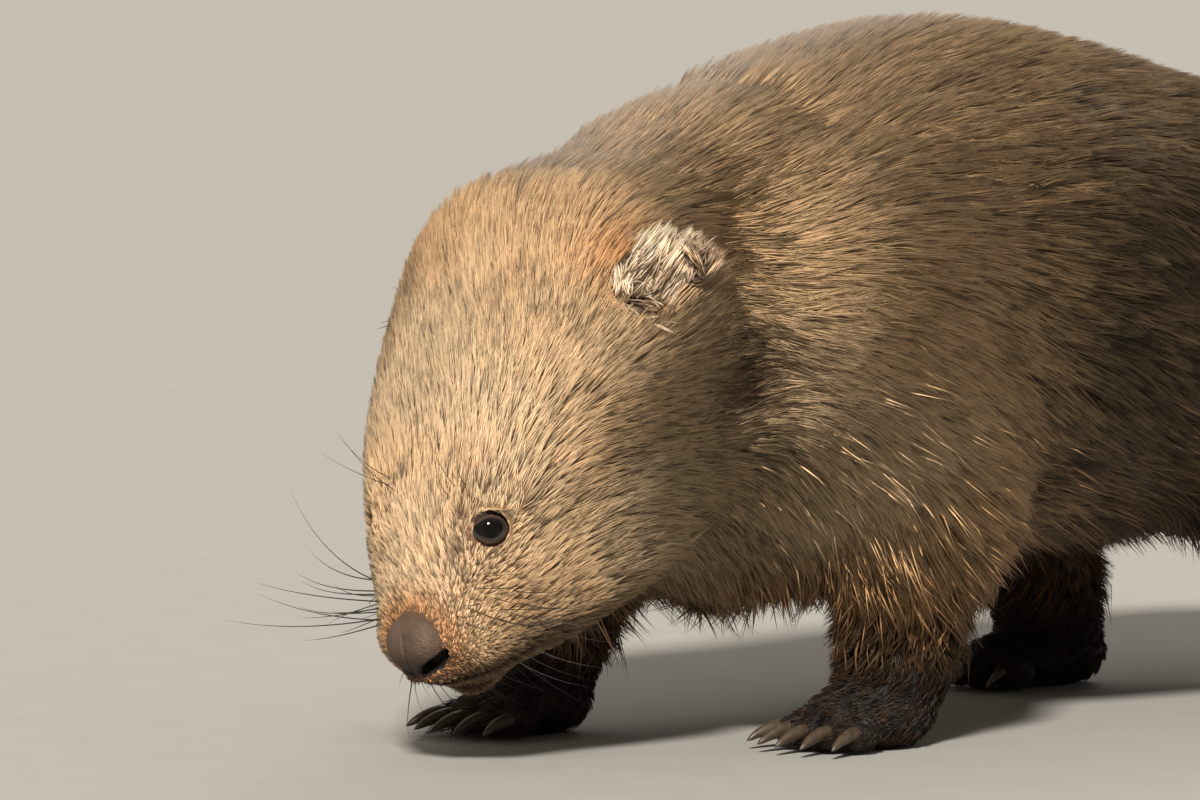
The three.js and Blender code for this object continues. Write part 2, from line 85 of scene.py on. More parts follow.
# Sections of the trunk along +Y: place, top, bottom and half width
TRUNK_SECTIONS = [
    (-98, 214, 128, 22),
    (-80, 228, 106, 46),
    (-60, 243, 92, 66),
    (-30, 262, 74, 87),
    (5, 283, 63, 104),
    (61, 304, 67, 118),
    (122, 315, 76, 128),
    (178, 311, 78, 134),
    (238, 298, 78, 137),
    (300, 282, 80, 134),
    (360, 262, 84, 127),
    (420, 241, 90, 110),
    (462, 212, 102, 82),
    (484, 186, 120, 50),
    (495, 164, 138, 16),
]
TRUNK_SQUARENESS = 2.15
TRUNK_AXIS_HEIGHT = 185
TAIL = ((0, 474, 166), (0, 508, 146), 15, 8)

# Each leg: joint centres and radii from the top down, its paw, and its toes: count, radius, claw, turn out
LEGS = {
    "forepaw_left": {
        "joints": [(70, 22, 180), (80, 56, 108), (72, 56, 44), (71, 48, 20)],
        "radii": [56, 40, 27, 21],
        "paw": ((69, 38, 13), (25, 32, 15)),
        "toes": (5, 8.5, FORE_CLAW, 3),
    },
    "forepaw_right": {
        "joints": [(-70, 6, 180), (-82, 12, 108), (-71, -20, 46), (-69, -28, 20)],
        "radii": [56, 40, 27, 21],
        "paw": ((-67, -38, 13), (25, 32, 15)),
        "toes": (5, 8.5, FORE_CLAW, -3),
    },
    "hindpaw_left": {
        "joints": [(62, 372, 168), (86, 296, 112), (80, 370, 46), (77, 380, 20)],
        "radii": [72, 50, 27, 21],
        "paw": ((76, 360, 13), (24, 42, 15)),
        "toes": (4, 9.5, HIND_CLAW, 6),
    },
    "hindpaw_right": {
        "joints": [(-62, 360, 168), (-86, 262, 112), (-78, 286, 46), (-74, 292, 20)],
        "radii": [72, 50, 27, 21],
        "paw": ((-73, 270, 13), (24, 42, 15)),
        "toes": (4, 9.5, HIND_CLAW, -6),
    },
}
SIDES = {"left": 1, "right": -1}


# Vectors in rows
def unit(v):
    return v / np.maximum(np.linalg.norm(v, axis=-1, keepdims=True), 1e-12)


def dot(a, b):
    return (a * b).sum(-1)


def square_to(axis, near):
    return unit(near - dot(near, axis)[..., None] * axis)


def rise(t, start, end):
    """0 before start, 1 after end, and smooth between them."""
    x = np.clip((t - start) / (end - start), 0, 1)
    return x * x * (3 - 2 * x)


def fall(t, start, end):
    """1 before start, 0 after end, and smooth between them."""
    return 1 - rise(t, start, end)


def mix(a, b, share):
    """A value or a row of values between a and b; share may differ from row to row."""
    if np.ndim(share) == 1 and np.ndim(a) == 2:
        share = share[:, None]
    return a + (b - a) * share


def one_side(p, axis=2):
    """The same places on the side where that coordinate is positive."""
    q = p.copy()
    q[:, axis] = np.abs(q[:, axis])
    return q


def turned(v, axis, angle):
    return np.array(Matrix.Rotation(angle, 3, Vector(axis)) @ Vector(v))


def ring_strip(rings, around):
    """Triangles between neighbouring rings of points."""
    i = np.arange(rings - 1)[:, None] * around
    j = np.arange(around)[None, :]
    k = (j + 1) % around
    a, b, c, d = (corner.ravel() for corner in (i + j, i + k, i + around + k, i + around + j))
    return np.vstack([np.column_stack([a, b, c]), np.column_stack([a, c, d])])


def cap(point, first, around):
    """Triangles from one point to the ring that starts at first."""
    j = np.arange(around)
    return np.column_stack([np.full(around, point), first + j, first + (j + 1) % around])


# The head has axes of its own: back from the muzzle, up through the crown, and left
sin_yaw, cos_yaw = math.sin(HEAD_YAW), math.cos(HEAD_YAW)
sin_pitch, cos_pitch = math.sin(HEAD_PITCH), math.cos(HEAD_PITCH)
HEAD_BACK = np.array([-sin_yaw * cos_pitch, cos_yaw * cos_pitch, sin_pitch])
HEAD_UP = turned((sin_yaw * sin_pitch, -cos_yaw * sin_pitch, cos_pitch), HEAD_BACK, -HEAD_ROLL)
HEAD_LEFT = turned((cos_yaw, sin_yaw, 0), HEAD_BACK, -HEAD_ROLL)
HEAD_AXES = np.array([HEAD_BACK, HEAD_UP, HEAD_LEFT])


def head_direction(v):
    return np.asarray(v, float) @ HEAD_AXES


def from_head(v):
    return NOSE + head_direction(v)


def to_head(p):
    return (p - NOSE) @ HEAD_AXES.T


def from_eyes(p):
    """Distance to the centre of the nearer eye."""
    centres = [from_head((EYE[0], EYE[1], EYE[2] * side)) for side in SIDES.values()]
    return np.min([np.linalg.norm(p - centre, axis=1) for centre in centres], axis=0)


# Distance fields: negative inside, in millimetres near the surface
def ellipsoid(p, centre, radii):
    q = p - np.array(centre, float)
    r = np.array(radii, float)
    near = np.linalg.norm(q / r, axis=-1)
    slope = np.maximum(np.linalg.norm(q / (r * r), axis=-1), 1e-6)
    return near * (near - 1) / slope


def limb(p, start, end, start_radius, end_radius):
    a = np.array(start, float)
    axis = np.array(end, float) - a
    d = p - a
    t = np.clip(d @ axis / (axis @ axis), 0, 1)
    return np.linalg.norm(d - t[:, None] * axis, axis=-1) - (start_radius + (end_radius - start_radius) * t)


def blend(a, b, width):
    h = np.maximum(width - np.abs(a - b), 0) / width
    return np.minimum(a, b) - h * h * width / 4


def carve(a, b, width):
    """Takes b out of a, with a rounded edge."""
    return -blend(-a, b, width)


def slopes(table):
    t = np.array(table, float)
    before = np.vstack([t[:1], t[:-1]])
    after = np.vstack([t[1:], t[-1:]])
    return (after - before) / (after[:, :1] - before[:, :1])


def section_at(table, tangents, t):
    rows = np.array(table, float)
    i = np.clip(np.searchsorted(rows[:, 0], t, side="left") - 1, 0, len(rows) - 2)
    step = rows[i + 1, 0] - rows[i, 0]
    u = np.clip((t - rows[i, 0]) / step, 0, 1)
    a, b = 2 * u**3 - 3 * u**2 + 1, u**3 - 2 * u**2 + u
    c, d = -2 * u**3 + 3 * u**2, u**3 - u**2
    return [
        a * rows[i, k] + b * step * tangents[i, k] + c * rows[i + 1, k] + d * step * tangents[i + 1, k]
        for k in (1, 2, 3)
    ]


def tube(table, tangents, squareness, along, up, out):
    top, bottom, half = section_at(table, tangents, along)
    middle = (top + bottom) / 2
    level = np.abs(out / half) ** squareness
    upright = np.abs((up - middle) * 2 / (top - bottom)) ** squareness
    size = (level + upright) ** (1 / squareness)
    length = np.hypot(out, up - middle)
    d = length * (1 - 1 / np.maximum(size, 1e-3))
    return np.maximum(d, np.maximum(table[0][0] - along, along - table[-1][0]))


HEAD_SLOPES = slopes(HEAD_SECTIONS)
TRUNK_SLOPES = slopes(TRUNK_SECTIONS)


def head_field(p):
    h = to_head(p)
    d = tube(HEAD_SECTIONS, HEAD_SLOPES, HEAD_SQUARENESS, h[:, 0], h[:, 1], h[:, 2])
    side = one_side(h)
    d = blend(d, ellipsoid(side, *WHISKER_PAD), 10)
    return blend(d, ellipsoid(h, *CHIN), 8)


def upper_leg(p, leg):
    return limb(p, leg["joints"][0], leg["joints"][1], leg["radii"][0], leg["radii"][1])


def toes_of(leg):
    """Centre, aim, radius and claw length of each toe across the front of a paw."""
    count, radius, claw, turn_out = leg["toes"]
    (x, y, _), (width, length, _) = leg["paw"]
    toes = []
    for i in range(count):
        across = i / (count - 1) - 0.5
        turn = math.radians(turn_out) + across * 0.5
        aim = np.array([math.sin(turn), -math.cos(turn), 0])
        reach = length * (0.86 - 0.9 * across * across)
        at = np.array([x + across * width * 1.55 + aim[0] * 6, y - reach, radius - 0.5])
        toes.append((at, aim, radius, claw))
    return toes


def leg_field(p, leg):
    joints, radii = leg["joints"], leg["radii"]
    d = upper_leg(p, leg)
    d = blend(d, limb(p, joints[1], joints[2], radii[1], radii[2]), 24)
    d = blend(d, limb(p, joints[2], joints[3], radii[2], radii[3]), 12)
    d = blend(d, ellipsoid(p, *leg["paw"]), 12)
    for at, _, radius, _ in toes_of(leg):
        d = blend(d, ellipsoid(p, at, (radius * 0.8, radius * 1.5, radius)), 3)
    return d


def body_field(p):
    d = tube(TRUNK_SECTIONS, TRUNK_SLOPES, TRUNK_SQUARENESS, p[:, 1], p[:, 2], p[:, 0])
    for leg in LEGS.values():
        d = blend(d, upper_leg(p, leg), 45)
    return blend(d, head_field(p), 28)


def outer_field(p):
    """The outline of the coat, out to its tips."""
    d = body_field(p)
    for leg in LEGS.values():
        x, y, _ = leg["joints"][2]
        near = np.hypot(p[:, 0] - x, (p[:, 1] - y) * 0.8) < 110
        low = near & (p[:, 2] < 190)
        if low.any():
            d[low] = blend(d[low], leg_field(p[low], leg), 14)
    return blend(d, limb(p, *TAIL), 8)


# Places on the body
def on_leg(p):
    """0 on the trunk, 1 down the lower legs."""
    return fall(p[:, 2], 62, 104)


def on_paw(p):
    return fall(p[:, 2], 26, 44)


def on_head(h):
    """1 on the face and crown, 0 behind the neck."""
    return fall(h[:, 0] + 0.25 * h[:, 1], 150, 215) * rise(h[:, 1], -104, -74)


def coat_depth(p):
    """How far the skin lies under the tips of the coat."""
    h = to_head(p)
    face = 1.2 + 2.3 * rise(h[:, 0], 2, 40) + 3 * rise(h[:, 0], 50, 130)
    cheek = 3.5 * rise(h[:, 0], 60, 120) * fall(h[:, 1], -20, 25)
    depth = mix(10.0, face + cheek, on_head(h))
    leg = on_leg(p) * (1 - on_head(h))
    depth = mix(depth, 6.0, leg)
    return mix(depth, 2.2, on_paw(p) * (1 - on_head(h)))


def ear_frame():
    root, tip = np.array(EAR_ROOT, float), np.array(EAR_TIP, float)
    axis = unit(tip - root)
    aim = square_to(axis, np.array([-0.62, 0.1, 0.75]))
    return root, axis, np.cross(axis, aim), aim


def ear_coordinates(h):
    """Across, along and forward of the nearer ear, from the head's coordinates."""
    root, axis, across, aim = ear_frame()
    q = one_side(h) - root
    return np.column_stack([q @ across, q @ axis, q @ aim])


def ear_hollow(h):
    """The room in front of the ear that the fur of the crown keeps clear of."""
    return ellipsoid(ear_coordinates(h), (-2, 17, 9), (20, 19, 12))


# The nose pad is set into the front of the muzzle
PAD_AIM = unit(head_direction((-0.78, 0.62, 0)))
PAD_UP = square_to(PAD_AIM, HEAD_UP)
PAD_CENTRE = from_head((6.0, -2.6, 0))
PAD_SIZE = (14.6, 13.0, 9.5)
# Middle line and radius of a nostril, in the pad's own left, up and forward
NOSTRIL = [
    ((3.4, -11.6, 4.5), 1.3),
    ((7.5, -10.0, 6.0), 2.4),
    ((12.0, -7.4, 4.0), 2.7),
    ((16.5, -3.0, -0.5), 1.3),
]


def pad_coordinates(p):
    q = p - PAD_CENTRE
    return np.column_stack([q @ HEAD_LEFT, q @ PAD_UP, q @ PAD_AIM])


def nostrils(q):
    side = one_side(q, 0)
    d = np.full(len(q), 99.0)
    for (start, wide), (end, narrow) in zip(NOSTRIL, NOSTRIL[1:]):
        for deep in (0, 2.5, 5):
            into = np.array([0, 0.5, -1]) * deep
            d = np.minimum(d, limb(side, np.array(start) + into, np.array(end) + into, wide, narrow))
    return d


def mouth_line(h):
    """How far over the line of the mouth a point lies."""
    return h[:, 1] + 19.5 + 0.0045 * h[:, 2] ** 2 + 0.12 * (h[:, 0] - 8)


def skin_field(p):
    """The skin under the coat, with its hollows, the seats of the eyes, the mouth and the nostrils."""
    d = outer_field(p) + coat_depth(p)
    h = to_head(p)
    by_ear = (h[:, 0] > 120) & (h[:, 0] < 240) & (np.abs(h[:, 2]) > 30)
    if by_ear.any():
        d[by_ear] = carve(d[by_ear], ear_hollow(h[by_ear]), 5)
    face = h[:, 0] < 130
    if not face.any():
        return d
    q = p[face]
    f = d[face]
    g = h[face]
    side = one_side(g)
    f = blend(f, ellipsoid(g, (14, -4, 0), (13, 13, 16)), 6)
    off = side - np.array(EYE, float)
    f = blend(f, np.linalg.norm(off, axis=-1) - (EYE_RADIUS + 0.9), 9)
    along = off @ unit(np.array(EYE_AIM))
    beside = np.linalg.norm(off - along[:, None] * unit(np.array(EYE_AIM)), axis=-1)
    f = carve(f, np.maximum(beside - 7.5, 2 - along), 1.5)
    # A shallow trough runs from the inner corner of the eye down the muzzle
    trough = (side[:, 0] - 37) ** 2 / 70 + (side[:, 2] - 20) ** 2 / 40 + (side[:, 1] - 16) ** 2 / 200
    f = f + 1.6 * np.exp(-trough)
    # The mouth runs back from under the nose, a little lower at its corners
    slit = np.maximum(np.abs(mouth_line(g)) - 1.5, side[:, 0] - 27)
    f = carve(f, np.maximum(slit, -4.2 - f), 2.0)
    d[face] = carve(f, nostrils(pad_coordinates(q)), 1.5)
    return d


def gradient(field, p, step=0.6):
    g = np.empty_like(p)
    for k in range(3):
        e = np.zeros(3)
        e[k] = step
        g[:, k] = (field(p + e) - field(p - e)) / (2 * step)
    return g


def settle(field, p, height=0.0, rounds=3):
    """Carries points along a field's slope to a height over its surface; returns them and their normals."""
    normal = None
    for _ in range(rounds):
        g = gradient(field, p)
        size = np.maximum(dot(g, g), 0.2)
        p = p + np.clip((height - field(p)) / size, -6, 6)[:, None] * g
        normal = unit(g)
    return p, normal


def noise(p, size, salt=0):
    """Smooth value noise between -1 and 1."""
    q = p / size
    cell = np.floor(q).astype(np.int64)
    f = q - cell
    f = f * f * (3 - 2 * f)
    total = np.zeros(len(p))
    for corner in range(8):
        offset = np.array([corner & 1, corner >> 1 & 1, corner >> 2 & 1])
        c = cell + offset
        key = c[:, 0] * 73856093 ^ c[:, 1] * 19349663 ^ c[:, 2] * 83492791 ^ (salt * 7919 + 12345)
        key = (key ^ (key >> 13)) * 1274126177
        value = ((key ^ (key >> 16)) & 0xFFFF) / 32767.5 - 1
        weight = np.prod(np.where(offset, f, 1 - f), axis=1)
        total += value * weight
    return total


# Meshes
def net(field, low, high, step, reach=24.0):
    """A mesh of quads on a field's surface, from a grid that is only worked out near that surface."""
    low = np.array(low, float)
    counts = np.ceil((np.array(high, float) - low) / step).astype(int) // 4 * 4 + 5
    axes = [low[k] + step * np.arange(counts[k]) for k in range(3)]
    coarse = np.stack(np.meshgrid(*[a[::4] for a in axes], indexing="ij"), -1)
    rough = field(coarse.reshape(-1, 3)).reshape(coarse.shape[:3])
    for k in range(3):
        rough = np.repeat(rough, 4, axis=k)
    cut = tuple(slice(4, 4 + n) for n in counts)
    rough = np.pad(rough, 2, mode="edge")[cut]
    near = np.abs(rough) < reach
    values = rough.copy()
    places = np.argwhere(near)
    points = low + places * step
    found = np.concatenate([field(points[i : i + 200000]) for i in range(0, len(points), 200000)])
    values[near] = found
    inside = values < 0
    n = np.array(values.shape) - 1
    corner = [
        inside[x : x + n[0], y : y + n[1], z : z + n[2]].astype(np.int8)
        for x in (0, 1)
        for y in (0, 1)
        for z in (0, 1)
    ]
    filled = sum(corner)
    mixed = (filled > 0) & (filled < 8)
    index = -np.ones(mixed.shape, np.int64)
    index[mixed] = np.arange(mixed.sum())
    vertices = low + (np.argwhere(mixed) + 0.5) * step
    quads = []
    for axis in range(3):
        b, c = (axis + 1) % 3, (axis + 2) % 3
        first = np.take(inside, range(0, inside.shape[axis] - 1), axis=axis)
        second = np.take(inside, range(1, inside.shape[axis]), axis=axis)
        for start, flip in ((first & ~second, False), (~first & second, True)):
            cells = np.argwhere(start)
            within = (cells[:, [b, c]] > 0) & (cells[:, [b, c]] < n[[b, c]])
            cells = cells[within.all(axis=1)]
            ring = []
            for db, dc in ((0, 0), (1, 0), (1, 1), (0, 1)):
                cell = cells.copy()
                cell[:, b] -= db
                cell[:, c] -= dc
                ring.append(index[cell[:, 0], cell[:, 1], cell[:, 2]])
            quad = np.column_stack(ring)
            quads.append(quad[:, ::-1] if flip else quad)
    return vertices, np.concatenate(quads)


def relax(field, p, edges, rounds):
    """Evens out a mesh along its surface."""
    for _ in range(rounds):
        total = np.zeros_like(p)
        count = np.zeros(len(p))
        for a, b in ((0, 1), (1, 0)):
            np.add.at(total, edges[:, a], p[edges[:, b]])
            np.add.at(count, edges[:, a], 1)
        p = 0.4 * p + 0.6 * total / np.maximum(count, 1)[:, None]
        p, _ = settle(field, p, rounds=1)
    return p


def mesh_data(name, points, faces, colours=None, uv=None, smooth=True):
    """A mesh in the frame's metres, from points in millimetres. Faces are rows of three or of four."""
    mesh = bpy.data.meshes.new(name)
    faces = np.ascontiguousarray(faces, np.int32)
    mesh.vertices.add(len(points))
    mesh.vertices.foreach_set("co", in_frame(points).astype(np.float32).ravel())
    mesh.loops.add(faces.size)
    mesh.loops.foreach_set("vertex_index", faces.ravel())
    mesh.polygons.add(len(faces))
    mesh.polygons.foreach_set("loop_start", np.arange(0, faces.size, faces.shape[1], dtype=np.int32))
    mesh.update(calc_edges=True)
    mesh.polygons.foreach_set("use_smooth", np.full(len(faces), smooth))
    if colours is not None:
        layer = mesh.color_attributes.new("coat", "FLOAT_COLOR", "POINT")
        shades = np.column_stack([colours, np.ones(len(colours))])
        layer.data.foreach_set("color", shades.astype(np.float32).ravel())
    if uv is not None:
        layer = mesh.uv_layers.new(name="OFBake")
        layer.data.foreach_set("uv", uv[faces.ravel()].astype(np.float32).ravel())
    mesh.validate()
    return mesh


def placed(name, data):
    obj = bpy.data.objects.new(name, data)
    bpy.context.scene.collection.objects.link(obj)
    return obj


def piece(name, mesh, material, replaced=()):
    obj = placed(name, mesh)
    mesh.materials.append(material)
    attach(obj, "root")
    if replaced:
        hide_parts(*replaced)


eye_low, eye_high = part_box("eye_left")
FRAME_SHIFT = np.array((eye_low + eye_high) / 2) * 1000 - from_head(SOLID_EYE)


def in_frame(p):
    return (np.asarray(p, float) + FRAME_SHIFT) / 1000


# Colours of the coat, as albedo
def srgb(*values):
    c = np.array(values, float) / 255
    return np.where(c <= 0.04045, c / 12.92, ((c + 0.055) / 1.055) ** 2.4)


CREAM = srgb(236, 208, 170)
GOLD = srgb(210, 165, 114)
TAN = srgb(176, 128, 82)
ORANGE = srgb(188, 116, 56)
UMBER = srgb(112, 76, 46)
DARK = srgb(52, 36, 25)
GREY_BROWN = srgb(132, 106, 82)
BUFF = srgb(204, 176, 140)
BLACK_BROWN = srgb(32, 23, 18)
WHITE = srgb(244, 230, 206)
FLESH = srgb(140, 94, 70)
SKIN_PAINTED_SHADE = 0.26  # how much darker the skin is painted than the coat over it: painted shade in the gaps between hairs


def spot(h, back, up, out, reach):
    """1 at a place on both sides of the head and less around it."""
    off = (one_side(h) - (back, up, out)) / np.array(reach, float)
    return np.exp(-dot(off, off))


def layered(main, tips, layers):
    """Colours laid over one another: where, the main shade and its share, the tips' shade and its share."""
    for where, shade, share, tip_shade, tip_share in layers:
        main = mix(main, shade, share * where)
        tips = mix(tips, tip_shade, tip_share * where)
    return main, tips


def markings(p):
    """The coat's own colour at a place on the body: its main shade and the shade of its tips."""
    h = to_head(p)
    back, up = h[:, 0], h[:, 1]
    side = np.abs(h[:, 2])
    height = p[:, 2]
    head = on_head(h)
    every = (len(p), 1)
    # The trunk is golden at the shoulders and greyer along the back and rump; painted shade darkens its
    # rear and sides, most low on the flank, and the shoulders' brighter tips are partly painted light
    patchy = 0.5 + 0.5 * noise(p, 34, 3)
    grey_and_shaded_rear = rise(0.64 * np.abs(p[:, 0]) + 0.77 * p[:, 1], 95, 185)
    gold_and_lit_shoulder = (1 - grey_and_shaded_rear) * rise(height, 60, 160)
    flank_shade = grey_and_shaded_rear * fall(height, 210, 290)
    main, tips = layered(
        mix(np.tile(TAN, every), UMBER, 0.25 + 0.4 * patchy),
        mix(np.tile(GOLD, every), BUFF, 0.3 + 0.4 * noise(p, 45, 4)),
        [
            # greyer, darker rear: partly its own colour, partly painted shade away from the key light
            (grey_and_shaded_rear, GREY_BROWN * 0.8, 0.7, BUFF * 0.75, 0.7),
            # golden shoulders with brightened tips: partly their own colour, partly painted light
            (gold_and_lit_shoulder, GOLD, 0.85, mix(GOLD, CREAM, 0.5) * 1.25, 0.9),
        ],
    )
    # painted shade: the flank turned from the key light is made much darker
    main = mix(main, main * 0.35, flank_shade)
    tips = mix(tips, tips * 0.35, flank_shade)
    # The face is golden with cream tips, warmer on the crown, rusty round the nose and dark on the chin
    cheek = rise(side, 34, 66) * fall(up, -12, 34) * rise(back, 40, 90)
    by_nose = np.linalg.norm(pad_coordinates(p) / (1.25, 1.0, 1.0), axis=1)
    rim = fall(by_nose, 15, 27) * rise(up, -24, -12)
    dusk = 0.55 * spot(h, 27, -12, 32, (10, 9, 14)) + 0.75 * spot(h, 36, 20, 22, (9, 5, 5))
    dusk = np.minimum(dusk + 0.55 * spot(h, 50, 34, 24, (12, 8, 5)), 0.8)
    face, face_tips = layered(
        mix(np.tile(GOLD * 0.85, every), TAN, 0.2 + 0.5 * (0.5 + 0.5 * noise(p, 16, 5))),
        mix(np.tile(CREAM, every), GOLD, 0.25 + 0.3 * noise(p, 24, 6)),
        [
            (rise(back, 100, 180) * rise(up, 10, 50), TAN * 1.1, 0.8, GOLD * 1.2, 0.7),
            # paler cheeks: partly their own colour, partly painted light where the key light only grazes
            # them
            (cheek, mix(GOLD, CREAM, 0.5), 0.6, CREAM * 1.15, 0.6),
            (rim, mix(ORANGE, UMBER, 0.65), 0.85, mix(TAN, ORANGE, 0.45), 0.75),
            (fall(up + 0.3 * back, -18, -8) * fall(back, 34, 70), DARK, 0.85, UMBER * 0.8, 0.8),
        ],
    )
    # painted shade: the throat under the jaw is darkened towards umber
    under_jaw_shade = fall(up, -52, -30) * rise(back, 40, 80)
    face = mix(mix(face, UMBER * 0.8, 0.3 * under_jaw_shade), DARK, dusk)
    face_tips = mix(face_tips, UMBER, dusk)
    # Legs darker downwards and paws nearly black, partly their own colour and partly painted shade low
    # under the body; painted shade in the hollow behind the cheek; orange fur before the ear
    return layered(
        mix(main, face, head),
        mix(tips, face_tips, head),
        [
            (fall(height, 46, 134) * (1 - head), DARK, 0.92, UMBER * 0.6, 0.88),
            (fall(height, 24, 58) * (1 - head), BLACK_BROWN, 0.95, DARK * 0.8, 0.95),
            # painted shade in the hollow behind the cheek
            (spot(h, 152, -10, 84, (28, 32, 28)), DARK * 0.6, 1, UMBER * 0.4, 0.95),
            (spot(h, 150, 60, 56, (14, 22, 12)), ORANGE * 1.15, 0.7, ORANGE * 1.3, 0.5),
        ],
    )


# Materials
def material(name, roughness, specular):
    made = bpy.data.materials.new(name)
    made.use_nodes = True
    shader = made.node_tree.nodes["Principled BSDF"]
    shader.inputs["Roughness"].default_value = roughness
    shader.inputs["Specular IOR Level"].default_value = specular
    return made, made.node_tree, shader


def add_node(tree, kind, **values):
    made = tree.nodes.new(kind)
    for key, value in values.items():
        if key in made.inputs:
            made.inputs[key].default_value = value
        else:
            setattr(made, key, value)
    return made


def textured(tree, kind, **values):
    """A texture laid out in the object's own coordinates."""
    where = add_node(tree, "ShaderNodeTexCoord")
    made = add_node(tree, kind, **values)
    tree.links.new(where.outputs["Object"], made.inputs["Vector"])
    return made


def add_bump(tree, shader, height, strength, distance):
    bump = add_node(tree, "ShaderNodeBump", Strength=strength, Distance=distance)
    tree.links.new(height, bump.inputs["Height"])
    tree.links.new(bump.outputs["Normal"], shader.inputs["Normal"])


def tinted(tree, shader, scale, low, high):
    """Base colour from the mesh's own coat colours, made lighter and darker by fine noise."""
    colour = add_node(tree, "ShaderNodeAttribute", attribute_name="coat")
    grain = textured(tree, "ShaderNodeTexNoise", Scale=scale, Detail=2.0)
    span = add_node(tree, "ShaderNodeMapRange")
    span.inputs["To Min"].default_value = low
    span.inputs["To Max"].default_value = high
    tree.links.new(grain.outputs["Fac"], span.inputs["Value"])
    scaled = add_node(tree, "ShaderNodeVectorMath", operation="SCALE")
    tree.links.new(colour.outputs["Color"], scaled.inputs[0])
    tree.links.new(span.outputs["Result"], scaled.inputs["Scale"])
    tree.links.new(scaled.outputs["Vector"], shader.inputs["Base Color"])
    return grain


def speckled(tree, shader, scale, detail, low, high):
    """Base colour between two shades, by fine noise."""
    grain = textured(tree, "ShaderNodeTexNoise", Scale=scale, Detail=detail)
    ramp = add_node(tree, "ShaderNodeValToRGB")
    ramp.color_ramp.elements[0].color = (*low, 1)
    ramp.color_ramp.elements[1].color = (*high, 1)
    tree.links.new(grain.outputs["Fac"], ramp.inputs["Fac"])
    tree.links.new(ramp.outputs["Color"], shader.inputs["Base Color"])
    return grain


def coat_material():
    made, tree, shader = material("coat_hair", 0.52, 0.3)
    tinted(tree, shader, 160.0, 0.8, 1.2)
    return made


def skin_material():
    made, tree, shader = material("coat_skin", 0.72, 0.25)
    grain = tinted(tree, shader, 420.0, 0.75, 1.2)
    add_bump(tree, shader, grain.outputs["Fac"], 0.6, 0.0006)
    return made


def nose_material():
    made, tree, shader = material("bare_nose", 0.58, 0.32)
    cells = textured(tree, "ShaderNodeTexVoronoi", Scale=1300.0)
    grain = tinted(tree, shader, 260.0, 0.6, 1.35)
    height = add_node(tree, "ShaderNodeMath", operation="ADD")
    tree.links.new(cells.outputs["Distance"], height.inputs[0])
    tree.links.new(grain.outputs["Fac"], height.inputs[1])
    add_bump(tree, shader, height.outputs["Value"], 0.7, 0.0004)
    return made


def eye_material():
    made, tree, shader = material("eye_gloss", 0.04, 0.3)
    shader.inputs["IOR"].default_value = 1.38
    where = add_node(tree, "ShaderNodeAttribute", attribute_name="coat")
    tree.links.new(where.outputs["Color"], shader.inputs["Base Color"])
    return made


def claw_material():
    made, tree, shader = material("claw_horn", 0.42, 0.4)
    grain = speckled(tree, shader, 300.0, 3.0, srgb(28, 23, 19), srgb(84, 69, 54))
    add_bump(tree, shader, grain.outputs["Fac"], 0.5, 0.0004)
    return made


def whisker_material():
    made, tree, shader = material("whisker", 0.4, 0.4)
    shader.inputs["Base Color"].default_value = (*srgb(26, 21, 18), 1)
    return made


def floor_material():
    made, tree, shader = material("floor", 0.9, 0.0)
    speckled(tree, shader, 30.0, 4.0, srgb(146, 144, 139), srgb(152, 150, 146))
    return made


HAIR = coat_material()
SKIN = skin_material()
BARE_NOSE = nose_material()
GLOSS = eye_material()
HORN = claw_material()
WHISKER = whisker_material()

# The skin
def build_skin():
    step = 3.0
    points, quads = net(skin_field, (-150, -172, -6), (150, 520, 325), step)
    mesh = bpy.data.meshes.new("rough")
    mesh.from_pydata(points, [], quads)
    bm = bmesh.new()
    bm.from_mesh(mesh)
    bpy.data.meshes.remove(mesh)
    for level in range(2):
        co = np.array([v.co for v in bm.verts])
        h = to_head(co)
        by_eye = from_eyes(co)
        wanted = (h[:, 0] < 100) if level == 0 else (h[:, 0] < 34) | (by_eye < 19)
        bm.verts.ensure_lookup_table()
        edges = [e for e in bm.edges if wanted[e.verts[0].index] and wanted[e.verts[1].index]]
        bmesh.ops.subdivide_edges(bm, edges=edges, cuts=1, use_grid_fill=True)
        bm.verts.index_update()
    bmesh.ops.triangulate(bm, faces=bm.faces)
    bm.verts.index_update()
    p = np.array([v.co for v in bm.verts])
    edges = np.array([[v.index for v in e.verts] for e in bm.edges])
    faces = np.array([[v.index for v in f.verts] for f in bm.faces])
    bm.free()
    p, _ = settle(skin_field, p, rounds=3)
    p = relax(skin_field, p, edges, 3)
    p, _ = settle(skin_field, p, rounds=2)
    p[:, 2] = np.maximum(p[:, 2], 0.4)
    return p, faces


skin_points, skin_faces = build_skin()


# The ears: cups that open forward and to the side
def ear_field(e):
    along = np.clip(e[:, 1] / EAR_LENGTH, 0, 1.1)
    narrow = 1 - 0.5 * along**2
    squeezed = np.column_stack([e[:, 0] / narrow, e[:, 1], e[:, 2]])
    middle, deep = 0.35 * EAR_LENGTH, EAR_LENGTH * 0.63
    outer = ellipsoid(squeezed, (0, middle, 0), (EAR_WIDTH / 2 - 1, 9, deep))
    inner = ellipsoid(squeezed, (0, middle + 1, 6.5), (EAR_WIDTH / 2 - 3, 9.5, deep - 2))
    return carve(outer, inner, 2)


